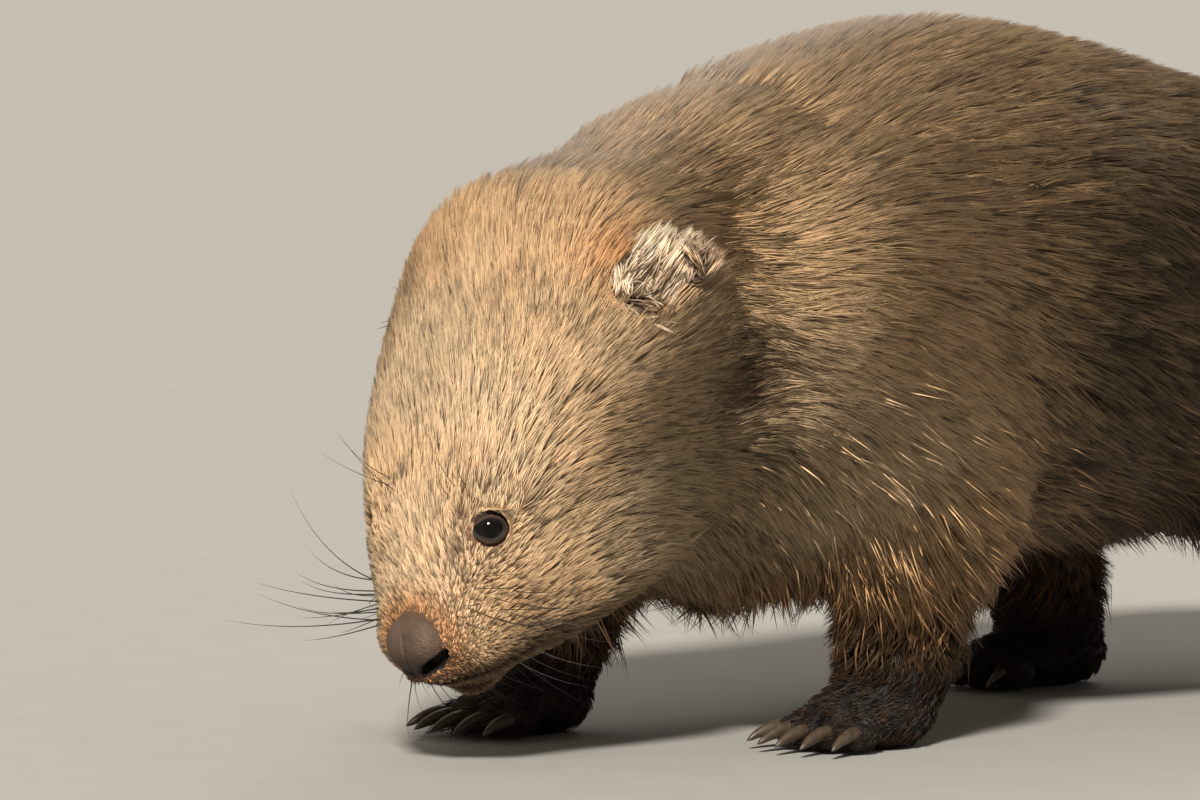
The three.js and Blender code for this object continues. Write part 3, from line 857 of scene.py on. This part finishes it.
def build_ears():
    """Points, faces and normals of both ears, and which of the points lie in the cup."""
    low = np.array([-EAR_WIDTH / 2 - 3, -EAR_LENGTH * 0.35, -15])
    high = np.array([EAR_WIDTH / 2 + 3, EAR_LENGTH * 1.05, 15])
    points, quads = net(ear_field, low, high, 1.6, reach=14)
    for _ in range(2):
        points, normal = settle(ear_field, points, rounds=1)
    cup = (normal[:, 2] > 0.1).astype(float)
    root, axis, across, aim = ear_frame()
    turn = np.array([across, axis, aim])
    faces = np.vstack([quads[:, [0, 1, 2]], quads[:, [0, 2, 3]]])
    ears = []
    for side in SIDES.values():
        mirror = np.array([1, 1, side])
        place = from_head((points @ turn + root) * mirror)
        ears.append((place, faces[:, ::side], head_direction(normal @ turn * mirror), cup))
    return ears


# Eyelids and eyes
def eye_frame(side):
    centre = from_head((EYE[0], EYE[1], EYE[2] * side))
    aim = unit(head_direction((EYE_AIM[0], EYE_AIM[1], EYE_AIM[2] * side)))
    up = square_to(aim, head_direction((0.55, 0.8, 0.1 * side)))
    front = square_to(aim, -HEAD_BACK)
    front = unit(front - dot(front, up) * up)
    return centre, aim, up, front


# The eye's opening, as angles at the ball
OPENING_LEVEL = 0.55
OPENING_ABOVE = 0.38
OPENING_BELOW = 0.43
OPENING_SQUARENESS = 1.7
INNER_CORNER = 0.28


def opening(angle):
    """Half size of the eye's opening, as an angle at the ball, drawn out towards its inner corner."""
    level, tall = np.cos(angle), np.sin(angle)
    half_tall = np.where(tall > 0, OPENING_ABOVE, OPENING_BELOW)
    size = sum(np.abs(part) ** OPENING_SQUARENESS for part in (level / OPENING_LEVEL, tall / half_tall))
    return size ** (-1 / OPENING_SQUARENESS) * (1 + INNER_CORNER * np.maximum(level, 0) ** 10)


def build_lids():
    """A rolled rim round each opening, then the lid itself with a fold above and a smaller one below."""
    # Angle out from the rim, radius from the ball's centre, extra radius of the fold over the eye, darkness
    rings = [
        (-0.1, 9.2, 0, 1),
        (-0.02, 9.75, 0, 1),
        (0.02, 10.5, 0, 1),
        (0.06, 10.95, 0, 0.85),
        (0.12, 11.2, 0.1, 0.45),
        (0.18, 11.15, 0.0, 0.3),
        # the dark ring in the dip between rim and lid is painted shade in that crease
        (0.24, 10.7, -0.3, 0.95),
        (0.31, 11.15, 0.7, 0.45),
        (0.4, 11.3, 1.0, 0.3),
        (0.52, 10.9, 0.6, 0.4),
        (0.68, 10.3, 0.2, 0.5),
        (0.82, 9.4, 0, 0.5),
    ]
    count = 96
    angle = np.arange(count) * 2 * math.pi / count
    lids = []
    for side in SIDES.values():
        centre, aim, up, front = eye_frame(side)
        points, shades = [], []
        for out, radius, fold, dark in rings:
            theta = opening(angle) + out
            spoke = np.cos(angle)[:, None] * front + np.sin(angle)[:, None] * up
            reach = radius + fold * np.clip(0.35 + np.sin(angle), 0, 1)
            ahead, aside = (np.cos(theta) * reach)[:, None], (np.sin(theta) * reach)[:, None]
            points.append(centre + ahead * aim + aside * spoke)
            shades.append(np.full(count, dark))
        faces = ring_strip(len(rings), count)
        if np.cross(front, up) @ aim > 0:
            faces = faces[:, ::-1]
        lids.append((np.concatenate(points), faces, np.concatenate(shades)))
    return lids


def ball(rings=48, segments=72):
    """A unit sphere about +Z as points and triangles."""
    theta = np.linspace(0, math.pi, rings + 1)[1:-1]
    phi = np.arange(segments) * 2 * math.pi / segments
    t, f = np.meshgrid(theta, phi, indexing="ij")
    points = np.stack([np.sin(t) * np.cos(f), np.sin(t) * np.sin(f), np.cos(t)], -1).reshape(-1, 3)
    points = np.vstack([points, [[0, 0, 1], [0, 0, -1]]])
    top, bottom = len(points) - 2, len(points) - 1
    last = (rings - 2) * segments
    between = ring_strip(rings - 1, segments)[:, ::-1]
    faces = np.vstack([between, cap(top, 0, segments), cap(bottom, last, segments)[:, ::-1]])
    return points, faces


def make_eyes():
    points, faces = ball()
    for name, side in SIDES.items():
        centre, aim, up, front = eye_frame(side)
        turn = np.array([np.cross(up, aim), up, aim])
        tilt = np.arccos(np.clip(points[:, 2], -1, 1))
        bulge = 1 + 0.035 * np.exp(-((tilt / 0.55) ** 4))
        iris = rise(tilt, 0.3, 0.36) * fall(tilt, 0.7, 0.85)
        colour = mix(np.tile(srgb(6, 5, 5), (len(points), 1)), srgb(15, 10, 8), iris)
        place = centre + (points * bulge[:, None] * EYE_RADIUS) @ turn
        mesh = mesh_data(f"eyeball_{name}", place, faces, colour)
        piece(f"eyeball_{name}", mesh, GLOSS, [f"eye_{name}"])


# The nose pad, with a fine groove down its middle and the inner half of a nostril on each side
def nose_field(q):
    side = one_side(q, 0)
    d = ellipsoid(q, (0, 0, 0), PAD_SIZE)
    d = blend(d, ellipsoid(side, (6.5, 1.0, 2.0), (7.5, 9.5, 8)), 4)
    d = carve(d, nostrils(q), 1.2)
    groove = 0.7 * np.exp(-((q[:, 0] / 0.6) ** 2)) * fall(q[:, 1], 3, 8)
    return d + groove


def make_nose():
    points, quads = net(nose_field, (-18, -15, -12), (18, 15, 13), 0.6, reach=8)
    points, normal = settle(nose_field, points, rounds=3)
    place = PAD_CENTRE + points @ np.array([HEAD_LEFT, PAD_UP, PAD_AIM])
    deep = fall(nostrils(points), 0.1, 1.6)
    colour = mix(np.tile(srgb(76, 60, 48), (len(points), 1)), srgb(46, 35, 30), rise(-points[:, 1], -2, 9))
    # near black deep in the nostrils: painted shade
    colour = mix(colour, srgb(14, 10, 9), deep)
    piece("nose_leather", mesh_data("nose_leather", place, quads, colour), BARE_NOSE, ["nose_pad"])


# Claws: bent, a little flattened, and buried in the toes at their roots
def make_claws():
    rings, around = 12, 16
    for paw, leg in LEGS.items():
        for number, (at, aim, radius, length) in enumerate(toes_of(leg), 1):
            t = np.linspace(-0.25, 1, rings)[:, None]
            phi = np.arange(around)[None, :] * 2 * math.pi / around
            start = at + np.array([0, 0, 1.5]) + aim * radius * 0.7
            across = np.array([aim[1], -aim[0], 0])
            droop = np.maximum(t, 0) ** 2 * (radius - 3)
            size = length * 0.17 * np.sqrt(np.clip(1 - np.maximum(t, 0) ** 1.6, 0.004, 1))
            p = (
                start
                + (t * length * 0.97)[..., None] * aim
                - droop[..., None] * np.array([0, 0, 1])
                + (size * np.cos(phi) * 0.85)[..., None] * across
                + (size * np.sin(phi))[..., None] * np.array([0, 0, 1])
            ).reshape(-1, 3)
            tip = len(p)
            p = np.vstack([p, p[-around:].mean(0), p[:around].mean(0)])
            ends = [cap(tip, (rings - 1) * around, around), cap(tip + 1, 0, around)[:, ::-1]]
            faces = np.vstack([ring_strip(rings, around), *ends])
            p[:, 2] = np.maximum(p[:, 2], 0.3)
            name = f"horn_{paw}_{number}"
            piece(name, mesh_data(name, p, faces), HORN, [f"claw_{paw}_{number}"])


# Whiskers: long, thin and bent, most of them from the pads beside the nose
def strand(points, start_radius, sides=4):
    """A thin tapered tube along points, as points and triangles."""
    n = len(points)
    along = unit(np.gradient(points, axis=0))
    first = square_to(along, np.tile([0.31, 0.2, 0.93], (n, 1)))
    second = np.cross(along, first)
    phi = np.arange(sides) * 2 * math.pi / sides
    size = start_radius * (1 - np.linspace(0, 1, n) ** 1.3 * 0.93)
    ring = np.cos(phi)[None, :, None] * first[:, None] + np.sin(phi)[None, :, None] * second[:, None]
    p = (points[:, None] + size[:, None, None] * ring).reshape(-1, 3)
    return p, ring_strip(n, sides)


def make_whiskers():
    starts = []
    for side in SIDES.values():
        for row in range(6):
            for step in range(4):
                h = (15 + 6 * step + 1.5 * row, 5 - 4.8 * row + 1.2 * step, (24 + 2.6 * step) * side)
                out = (-0.2 + 0.16 * step, -0.05 - 0.14 * row, side)
                long = rng.uniform(55, 88) if side < 0 else rng.uniform(26, 44)
                starts.append((h, out, long, 0.3 if side < 0 else 0.2))
        for step in range(3):
            starts.append(((54 + 3 * step, 40, (16 + 4 * step) * side), (-0.2, 0.85, 0.5 * side), 34, 0.2))
            starts.append(((74 + 6 * step, -14 - 6 * step, 62 * side), (0.3, -0.3, 0.9 * side), 28, 0.18))
    for step in range(8):
        out = (-0.1, -1, -0.3 + 0.08 * step)
        starts.append(((10 + 3 * step, -46, -14 + 4 * step), out, rng.uniform(18, 30), 0.22))
    points, faces, count = [], [], 0
    for h, out, length, radius in starts:
        spot = from_head(np.array(h, float) + rng.normal(0, 1, 3))[None]
        spot, normal = settle(skin_field, spot, -0.5, rounds=6)
        way = unit(unit(head_direction(out)) + 0.5 * normal[0] + rng.normal(0, 0.1, 3))
        bend = square_to(way, head_direction((0.75, -0.35, 0)) + rng.normal(0, 0.25, 3))
        t = np.linspace(0, 1, 14)[:, None]
        path = spot[0] + length * (t * way + 0.32 * t**2 * bend)
        p, f = strand(path, radius)
        points.append(p)
        faces.append(f + count)
        count += len(p)
    mesh = mesh_data("whiskers", np.concatenate(points), np.concatenate(faces))
    piece("whiskers", mesh, WHISKER)


# The coat
def flow_at(p):
    """The way the hair lies."""
    h = to_head(p)
    n = len(p)
    side = h[:, 2]
    head = on_head(h)
    down = -0.4 * np.minimum(np.abs(p[:, 0]) / 110, 1) - np.maximum(p[:, 1] - 420, 0) / 50
    trunk = np.column_stack([0.0008 * p[:, 0], np.ones(n), down])
    chest = fall(p[:, 1], 0, 70) * fall(p[:, 2], 120, 190)
    trunk = mix(trunk, np.array([0, 0.65, -0.75]), chest)
    fan = np.clip(side / 60, -1, 1)[:, None]
    forehead = HEAD_BACK + 0.22 * fan * HEAD_LEFT
    cheek = np.tile([0.0, 1.0, 0.12], (n, 1)) + 0.1 * fan * HEAD_LEFT
    jaw = np.tile([0.0, 0.9, -0.55], (n, 1))
    beside = rise(np.abs(side), 26, 62) * fall(h[:, 1], 8, 52) * rise(h[:, 0], 42, 100)
    low = fall(h[:, 1], -58, -28) * rise(h[:, 0], 20, 60)
    face = mix(mix(forehead, cheek, beside), jaw, low)
    flow = mix(trunk, face, head)
    leg = on_leg(p) * (1 - head)
    down_leg = np.column_stack([np.zeros(n), -0.45 + 0.75 * rise(p[:, 2], 44, 100), -np.ones(n)])
    flow = mix(flow, down_leg, leg)
    flow = mix(flow, np.array([0, -1.0, -0.35]), on_paw(p) * (1 - head))
    return flow


def pick(points, faces, weight, count):
    """Random roots on a mesh, more of them where weight, one value per face, is larger."""
    a, b, c = (points[faces[:, k]] for k in range(3))
    cross = np.cross(b - a, c - a)
    area = np.linalg.norm(cross, axis=1) / 2
    chance = np.cumsum(area * weight)
    face = np.searchsorted(chance, rng.random(count) * chance[-1])
    u, v = rng.random(count), rng.random(count)
    over = u + v > 1
    u[over], v[over] = 1 - u[over], 1 - v[over]
    root = a[face] + u[:, None] * (b - a)[face] + v[:, None] * (c - a)[face]
    return root, unit(cross[face])


def spikes(roots, middles, tips, normal, width, uv, shade_root, shade_middle, shade_tip):
    """Three-sided spikes, as points, faces, UVs and colours. Those with middles bend there."""
    n = len(roots)
    levels = [(roots, 1.0, shade_root)]
    if middles is not None:
        levels.append((middles, 0.85, shade_middle))
    points, colours = [], []
    for i, (at, size, shade) in enumerate(levels):
        ahead = tips if i == len(levels) - 1 else levels[i + 1][0]
        along = unit(ahead - at)
        across = unit(np.cross(along, normal))
        lift = np.cross(across, along)
        half = (width * size / 2)[:, None]
        points += [at - across * half, at + lift * half * 0.8, at + across * half]
        # the ridge is 6% lighter than the sides: a painted highlight along each spike
        colours += [shade, shade * 1.06, shade]
    points.append(tips)
    colours.append(shade_tip)
    count = len(points)
    p = np.stack(points, 1).reshape(-1, 3)
    c = np.stack(colours, 1).reshape(-1, 3)
    base = (np.arange(n) * count)[:, None]
    pattern = []
    for i in range(len(levels) - 1):
        for k in range(3):
            a, b = 3 * i + k, 3 * i + (k + 1) % 3
            pattern += [(a, b, b + 3), (a, b + 3, a + 3)]
    i = 3 * (len(levels) - 1)
    for k in range(3):
        pattern.append((i + k, i + (k + 1) % 3, count - 1))
    faces = np.concatenate([base + np.array(row) for row in pattern])
    spread = np.array([(-1, -1), (0, 0), (1, -1), (-1, 0.2), (0, 0.6), (1, 0.2), (0, 1)])
    spread = spread[:count] if count == 7 else spread[[0, 1, 2, 6]]
    patch = (uv[:, None, :] + 0.0015 * spread[None]).reshape(-1, 2)
    return p, faces, patch, c


def in_the_way(p, h):
    """Hair that would cross an eye, an open ear, the nose or the mouth is left out."""
    gone = np.zeros(len(p), bool)
    for side in SIDES.values():
        centre, aim, _, _ = eye_frame(side)
        off = p - centre
        along = off @ aim
        beside = np.linalg.norm(off - along[:, None] * aim, axis=1)
        gone |= (beside < 7.3) & (along > 0)
    q = pad_coordinates(p)
    gone |= (ellipsoid(q, (0, 0, 0), np.array(PAD_SIZE) + 0.8) < 0) | (nostrils(q) < 0.6)
    gone |= (np.abs(mouth_line(h)) < 1.6) & (h[:, 0] < 27)
    return gone | (ear_hollow(h) < -0.5)


CLUMP_PULL = (0.3, 0.85)  # how far a tip leans to the middle tip of its clump
LOCK_CONTRAST = 0.34
PATCH_CONTRAST = 0.32
HAIR_CONTRAST = 0.2
DARK_SHARE = 0.24
LIGHT_SHARE = 0.2
MOST_ALBEDO = 0.85


def grow(
    name, surface, weight, count, length, width, cell,
    way_of=flow_at, colour=markings, stand=None, bent=False, clump=14, loose=1,
):
    """One piece of coat. length and width say how large a tuft is at its root, cell where its root lies on
    the unwrap. Tips lie on the outline of the coat, loose times its fringe over it, or at a height over the
    skin where stand is given."""
    count = count
    roots, normal = pick(surface[0], surface[1], weight, count)
    way = square_to(normal, way_of(roots))
    swirl = 0.3 * noise(roots, 38, 21) + 0.16 * noise(roots, 13, 22) + rng.normal(0, 0.09, count)
    way = unit(way * np.cos(swirl)[:, None] + np.cross(normal, way) * np.sin(swirl)[:, None])
    long = length(roots) * rng.uniform(0.75, 1.2, count)
    wide = width(roots) * rng.uniform(0.7, 1.25, count)
    middle = roots + way * long[:, None] * 0.5
    tip = roots + way * long[:, None]
    if stand is None:
        deep, top = coat_depth(roots), fringe(roots) * loose
        tip, tip_normal = settle(outer_field, tip, rounds=1)
        tip = tip + tip_normal * (top * rng.uniform(0.1, 1.2, count) - deep * 0.14)[:, None]
        if bent:
            middle, _ = settle(outer_field, middle, rounds=1)
            middle = middle + normal * (top * 0.4 - deep * rng.uniform(0.3, 0.6, count))[:, None]
    else:
        high = stand(roots) * rng.uniform(0.5, 1.2, count)
        tip = tip + normal * high[:, None]
        middle = middle + normal * high[:, None] * 0.75
    centres = rng.choice(count, max(count // clump, 1), replace=False)
    tree = KDTree(len(centres))
    for i, centre in enumerate(centres):
        tree.insert(Vector(tip[centre]), i)
    tree.balance()
    nearest = centres[[tree.find(Vector(t))[1] for t in tip]]
    close = np.linalg.norm(tip[nearest] - tip, axis=1) < long
    pull = np.where(close, rng.uniform(*CLUMP_PULL, count), 0)[:, None]
    tip = tip + pull * (tip[nearest] - tip)
    middle = middle + 0.3 * pull * (middle[nearest] - middle)
    main, ends = colour(roots)
    locks = rng.normal(0, 1, count)[nearest]
    uneven = LOCK_CONTRAST * locks + PATCH_CONTRAST * noise(roots, 10, 41)
    tone = np.exp(uneven + rng.normal(0, HAIR_CONTRAST, count))[:, None]
    ticking = rng.random(count) + 0.12 * noise(roots, 26, 31) + 0.1 * (locks > 0.9)
    dark = (ticking > 1 - DARK_SHARE)[:, None]
    light = (ticking < LIGHT_SHARE)[:, None]
    main = np.where(dark, main * 0.38, main) * tone
    ends = np.where(dark, ends * 0.3, np.where(light, ends * 1.4, ends)) * tone
    angle, along = cell
    patch = np.column_stack([angle(roots), along(roots)])
    kept = np.ones(count, bool)
    if stand is None:
        kept = ~in_the_way(tip, to_head(tip)) & ~in_the_way((roots + tip) / 2, to_head((roots + tip) / 2))
    start = roots - normal * 0.4
    # roots at 0.3 of the main shade: partly the darker undercoat, partly painted shade deep in the coat
    rows = [start, tip, normal, wide, patch, main * 0.3, mix(main, ends, 0.4), ends * 1.12, middle]
    start, tip, normal, wide, patch, base, body, ends, middle = (row[kept] for row in rows)
    middle = middle if bent else None
    p, faces, uv, shade = spikes(start, middle, tip, normal, wide, patch, base, body, ends)
    p[:, 2] = np.maximum(p[:, 2], 0.2)
    shade = shade * np.minimum(1, MOST_ALBEDO / shade.max(1))[:, None]
    mesh = mesh_data(name, p, faces, shade, uv)
    piece(name, mesh, HAIR)


def turn_share(x, y):
    """Place across an unwrap, from the way round an axis."""
    return 0.02 + 0.96 * (np.arctan2(x, y) / (2 * math.pi) + 0.5)


def length_share(t, low, high):
    """Place up an unwrap, from the way along an axis."""
    return np.clip(0.02 + 0.96 * (t - low) / (high - low), 0.01, 0.99)


def around_trunk(low, high):
    def angle(p):
        return turn_share(p[:, 0], p[:, 2] - TRUNK_AXIS_HEIGHT)

    def along(p):
        return length_share(p[:, 1], low, high)

    return angle, along


def around_head(low, high):
    def angle(p):
        h = to_head(p)
        return turn_share(h[:, 2], h[:, 1])

    def along(p):
        return length_share(to_head(p)[:, 0], low, high)

    return angle, along


def leg_centres(p):
    """Which leg a point is nearest to, and that leg's axis at its height."""
    centres = []
    for leg in LEGS.values():
        joints = np.array(leg["joints"][::-1], float)
        x = np.interp(p[:, 2], joints[:, 2], joints[:, 0])
        y = np.interp(p[:, 2], joints[:, 2], joints[:, 1])
        centres.append(np.column_stack([x, y]))
    away = [np.linalg.norm(p[:, :2] - c, axis=1) for c in centres]
    which = np.argmin(away, axis=0)
    return which, np.array(centres)[which, np.arange(len(p))]


def around_legs(high):
    def angle(p):
        _, centre = leg_centres(p)
        q = p[:, :2] - centre
        return turn_share(q[:, 0], q[:, 1])

    def along(p):
        which, _ = leg_centres(p)
        return (which + 0.04 + 0.92 * np.clip(p[:, 2] / high, 0, 1)) / 4

    return angle, along


def around_ears():
    def angle(p):
        e = ear_coordinates(to_head(p))
        turn = np.arctan2(e[:, 2], e[:, 0]) / (2 * math.pi) + 0.5
        return (0.04 + 0.92 * turn + (p[:, 0] > 0)) / 2

    def along(p):
        return np.clip(0.1 + 0.8 * ear_coordinates(to_head(p))[:, 1] / EAR_LENGTH, 0.02, 0.98)

    return angle, along


def fringe(p):
    """How far tips stand out past the outline: most along the cheeks, chest, belly and legs."""
    h = to_head(p)
    head = on_head(h)
    under = fall(p[:, 2], 92, 150) * rise(p[:, 2], 40, 84) * (1 - head)
    chest = fall(p[:, 1], 0, 50) * fall(p[:, 2], 120, 200) * (1 - head)
    cheek = fall(h[:, 1], -44, -12) * rise(h[:, 0], 44, 100) * head
    crown = rise(h[:, 0], 90, 160)
    all_over = 3.0 * (1 - head) + (0.8 + 1.4 * crown) * head
    return (1 - on_paw(p) * (1 - head)) * (all_over + 5 * under + 4 * chest + 4 * cheek)


ears = build_ears()
lids = build_lids()


def combine(parts):
    points, faces, colours, count = [], [], [], 0
    for p, f, c in parts:
        points.append(p)
        faces.append(f + count)
        colours.append(c)
        count += len(p)
    return np.concatenate(points), np.concatenate(faces), np.concatenate(colours)


def make_skin():
    main, ends = markings(skin_points)
    # the skin is painted dark: painted shade seen through the gaps of the coat
    shade = mix(main, ends, 0.3) * SKIN_PAINTED_SHADE
    h = to_head(skin_points)
    by_eye = from_eyes(skin_points)
    shade = mix(shade, FLESH * 0.45, 0.8 * fall(by_eye, 11.5, 15))
    # painted shade: near black along the mouth's slit and in the nostrils
    mouth_shade = np.exp(-((mouth_line(h) / 3.2) ** 2)) * fall(h[:, 0], 26, 32)
    q = pad_coordinates(skin_points)
    nostril_shade = fall(nostrils(q), 0.2, 3)
    leather = fall(ellipsoid(q, (0, 0, 0), PAD_SIZE), 0.8, 4.5)
    shade = mix(shade, srgb(78, 58, 45), 0.85 * leather)
    shade = mix(shade, srgb(20, 14, 12), np.maximum(0.92 * mouth_shade, nostril_shade))
    parts = [(skin_points, skin_faces, shade)]
    for p, f, _, cup in ears:
        outside = np.tile(srgb(140, 118, 92), (len(p), 1))
        parts.append((p, f, mix(outside, srgb(92, 70, 56), cup) * 0.6))
    for p, f, dark in lids:
        parts.append((p, f, mix(np.tile(srgb(74, 51, 37), (len(p), 1)), srgb(17, 12, 10), dark)))
    points, faces, colours = combine(parts)
    nodes = ["head", "neck", "torso", "tail", "ear_left", "ear_right"]
    nodes += ["foreleg_left", "foreleg_right", "hindleg_left", "hindleg_right", *LEGS]
    uv = np.column_stack([f(points) for f in around_trunk(-180, 520)])
    piece("skin", mesh_data("skin", points, faces, colours, uv), SKIN, nodes)


make_skin()
make_eyes()
make_nose()
make_claws()
make_whiskers()


def constant(value):
    return lambda p: np.full(len(p), float(value))


def face_length(p):
    h = to_head(p)
    short = 1.9 + 9 * rise(h[:, 0], 6, 62) + 8 * rise(h[:, 0], 60, 150) + 4 * rise(np.abs(h[:, 2]), 40, 75)
    by_eye = from_eyes(p)
    return short * (0.45 + 0.55 * rise(by_eye, 12, 30))


def face_width(p):
    return 0.5 + 0.45 * rise(to_head(p)[:, 0], 10, 110)


def trunk_length(p):
    return 28 - 6 * fall(p[:, 2], 70, 120)


def leg_length(p):
    return 5 + 16 * rise(p[:, 2], 40, 100)


def ear_way(slant):
    """Hair in the ear runs from its front edge up and back, and outside from root to tip."""

    def way_at(p):
        _, axis, across, _ = ear_frame()
        way = np.tile(slant * across + axis, (len(p), 1))
        way[:, 2] *= np.where(to_head(p)[:, 2] > 0, 1, -1)
        return head_direction(way)

    return way_at


def ear_back_colour(p):
    return np.tile(GREY_BROWN, (len(p), 1)), np.tile(BUFF, (len(p), 1))


def ear_cup_colour(p):
    """Cream, greyer at the rear edge, with two dark lines of painted shade in the partings along the hair.
    """
    e = ear_coordinates(to_head(p))
    beside = 0.58 * e[:, 0] - 0.81 * e[:, 1]
    slit_shade = np.exp(-(((beside + 15) / 1.6) ** 2)) + np.exp(-(((beside + 6) / 1.4) ** 2))
    rear_edge_and_slit_shade = np.maximum(0.8 * rise(e[:, 0], 8, 19), 0.8 * slit_shade)
    main = mix(np.tile(GREY_BROWN * 1.1, (len(p), 1)), DARK, rear_edge_and_slit_shade)
    return main, mix(np.tile(mix(BUFF, WHITE, 0.6), (len(p), 1)), UMBER, rear_edge_and_slit_shade)


middles = skin_points[skin_faces].mean(1)
middle_head = to_head(middles)
head_share = on_head(middle_head)
low_share = on_leg(middles) * (1 - head_share)
paw_share = on_paw(middles) * (1 - head_share)
body_share = (1 - head_share) * (1 - low_share)
clear = ~in_the_way(middles, middle_head) & (skin_field(middles) > -1.5)
skin = (skin_points, skin_faces)
front = fall(middle_head[:, 0], 96, 120)
near_nose = fall(middle_head[:, 0], 16, 64)
left = middle_head[:, 2] > 0

face_weight = head_share * front * clear * (1 + 2.2 * near_nose)
grow("coat_face", skin, face_weight, 64000, face_length, face_width, around_head(-8, 125))
for name, half in (("coat_crown_left", left), ("coat_crown_right", ~left)):
    weight = head_share * (1 - front) * clear * half
    grow(name, skin, weight, 56000, face_length, face_width, around_head(85, 235))
for name, low, high, count in (
    ("neck", -150, 70, 60000),
    ("shoulders", 70, 200, 60000),
    ("flanks", 200, 330, 54000),
    ("rump", 330, 520, 42000),
):
    weight = body_share * (middles[:, 1] >= low) * (middles[:, 1] < high)
    cell = around_trunk(low - 30, high + 30)
    grow(f"coat_{name}", skin, weight, count, trunk_length, constant(1.1), cell, clump=20)
weight = (fringe(middles) - 3.1).clip(0) * clear * (middles[:, 2] > 50)
cell = around_trunk(-180, 520)
grow("coat_fringes", skin, weight, 7000, constant(33), constant(1.0), cell, bent=True, clump=4, loose=1.8)
weight = low_share * (1 - paw_share)
grow("coat_legs", skin, weight, 32000, leg_length, constant(1.15), around_legs(120))
weight = paw_share * (middles[:, 2] > 3)
grow("coat_paws", skin, weight, 16000, constant(5.5), constant(0.9), around_legs(60))

# The ears: short grey-tan hair on their backs, long cream hair in front, and fur in the hollow before them
ear_points, ear_faces, _ = combine([(p, f, n) for p, f, n, _ in ears])
in_cup = np.concatenate([cup for _, _, _, cup in ears])[ear_faces].mean(1)
ear_skin = (ear_points, ear_faces)
grow("coat_ear_backs", ear_skin, 1 - in_cup, 7000, constant(9), constant(0.9), around_ears(),
     way_of=ear_way(0.6), colour=ear_back_colour, stand=constant(1.2))
grow("coat_ear_cups", ear_skin, in_cup, 5000, constant(13), constant(0.9), around_ears(),
     way_of=ear_way(1.4), colour=ear_cup_colour, stand=constant(2.5), bent=True, clump=30)
hollow = ((ear_hollow(middle_head) < 1.5) & (np.abs(middle_head[:, 2]) > 30)).astype(float)
by_ear = ear_coordinates(middle_head)
inside = fall(np.hypot((by_ear[:, 0] + 2) / 19, (by_ear[:, 1] - 17) / 18), 0.9, 1.02)


def over_hollow(p):
    """Cream hair fills the hollow up to its rim."""
    return np.clip(6 - ear_coordinates(to_head(p))[:, 2], 2, 9)


grow("coat_ear_fill", skin, hollow * inside, 5000, constant(19), constant(0.9), around_ears(),
     way_of=ear_way(1.4), colour=ear_cup_colour, stand=over_hollow, bent=True, clump=40)
grow("coat_ear_hollows", skin, hollow * (1 - inside), 5000, constant(9), constant(0.9), around_ears(),
     way_of=ear_way(1.0), stand=constant(1.5))

# Floor, light and camera
floor_data = bpy.data.meshes.new("floor")
floor_data.from_pydata([(-400, -400, 0), (400, -400, 0), (400, 400, 0), (-400, 400, 0)], [], [(0, 1, 2, 3)])
floor_data.materials.append(floor_material())
floor = placed("floor", floor_data)


def point_at(obj, target):
    way = Vector(target) - obj.location
    obj.rotation_euler = way.to_track_quat("-Z", "Y").to_euler()


def sun(name, way, strength, spread, colour):
    """Light from far off, soft at its edges, so that the floor is lit alike up to the horizon."""
    data = bpy.data.lights.new(name, "SUN")
    data.energy = strength
    data.angle = math.radians(spread)
    data.color = colour
    obj = placed(name, data)
    obj.location = Vector(way) * 3
    point_at(obj, (0, 0, 0))


CAMERA_AZIMUTH = math.radians(50)
CAMERA_RISE = math.radians(3.5)
CAMERA_AWAY = 3000.0
CAMERA_TARGET = np.array([-64.2154, 2.6731, 144.2768])
target = in_frame(CAMERA_TARGET)
level = math.cos(CAMERA_RISE)
toward = np.array(
    [math.sin(CAMERA_AZIMUTH) * level, -math.cos(CAMERA_AZIMUTH) * level, math.sin(CAMERA_RISE)]
)
camera_data = bpy.data.cameras.new("camera")
camera_data.sensor_width = 36
camera_data.lens = 205.2
camera = placed("camera", camera_data)
camera.location = target + toward * CAMERA_AWAY / 1000
point_at(camera, target)
bpy.context.scene.camera = camera

sun("key", (0.56, -0.6, 0.62), 6.4, 8, (1.0, 0.945, 0.87))
sun("rim", (-0.5, 0.8, 0.8), 0.9, 25, (1.0, 0.97, 0.93))

world = bpy.data.worlds.new("studio")
bpy.context.scene.world = world
world.use_nodes = True
background = world.node_tree.nodes["Background"]
background.inputs["Color"].default_value = (*srgb(211, 205, 193), 1)
background.inputs["Strength"].default_value = 0.72
bpy.context.scene.view_settings.view_transform = "Standard"
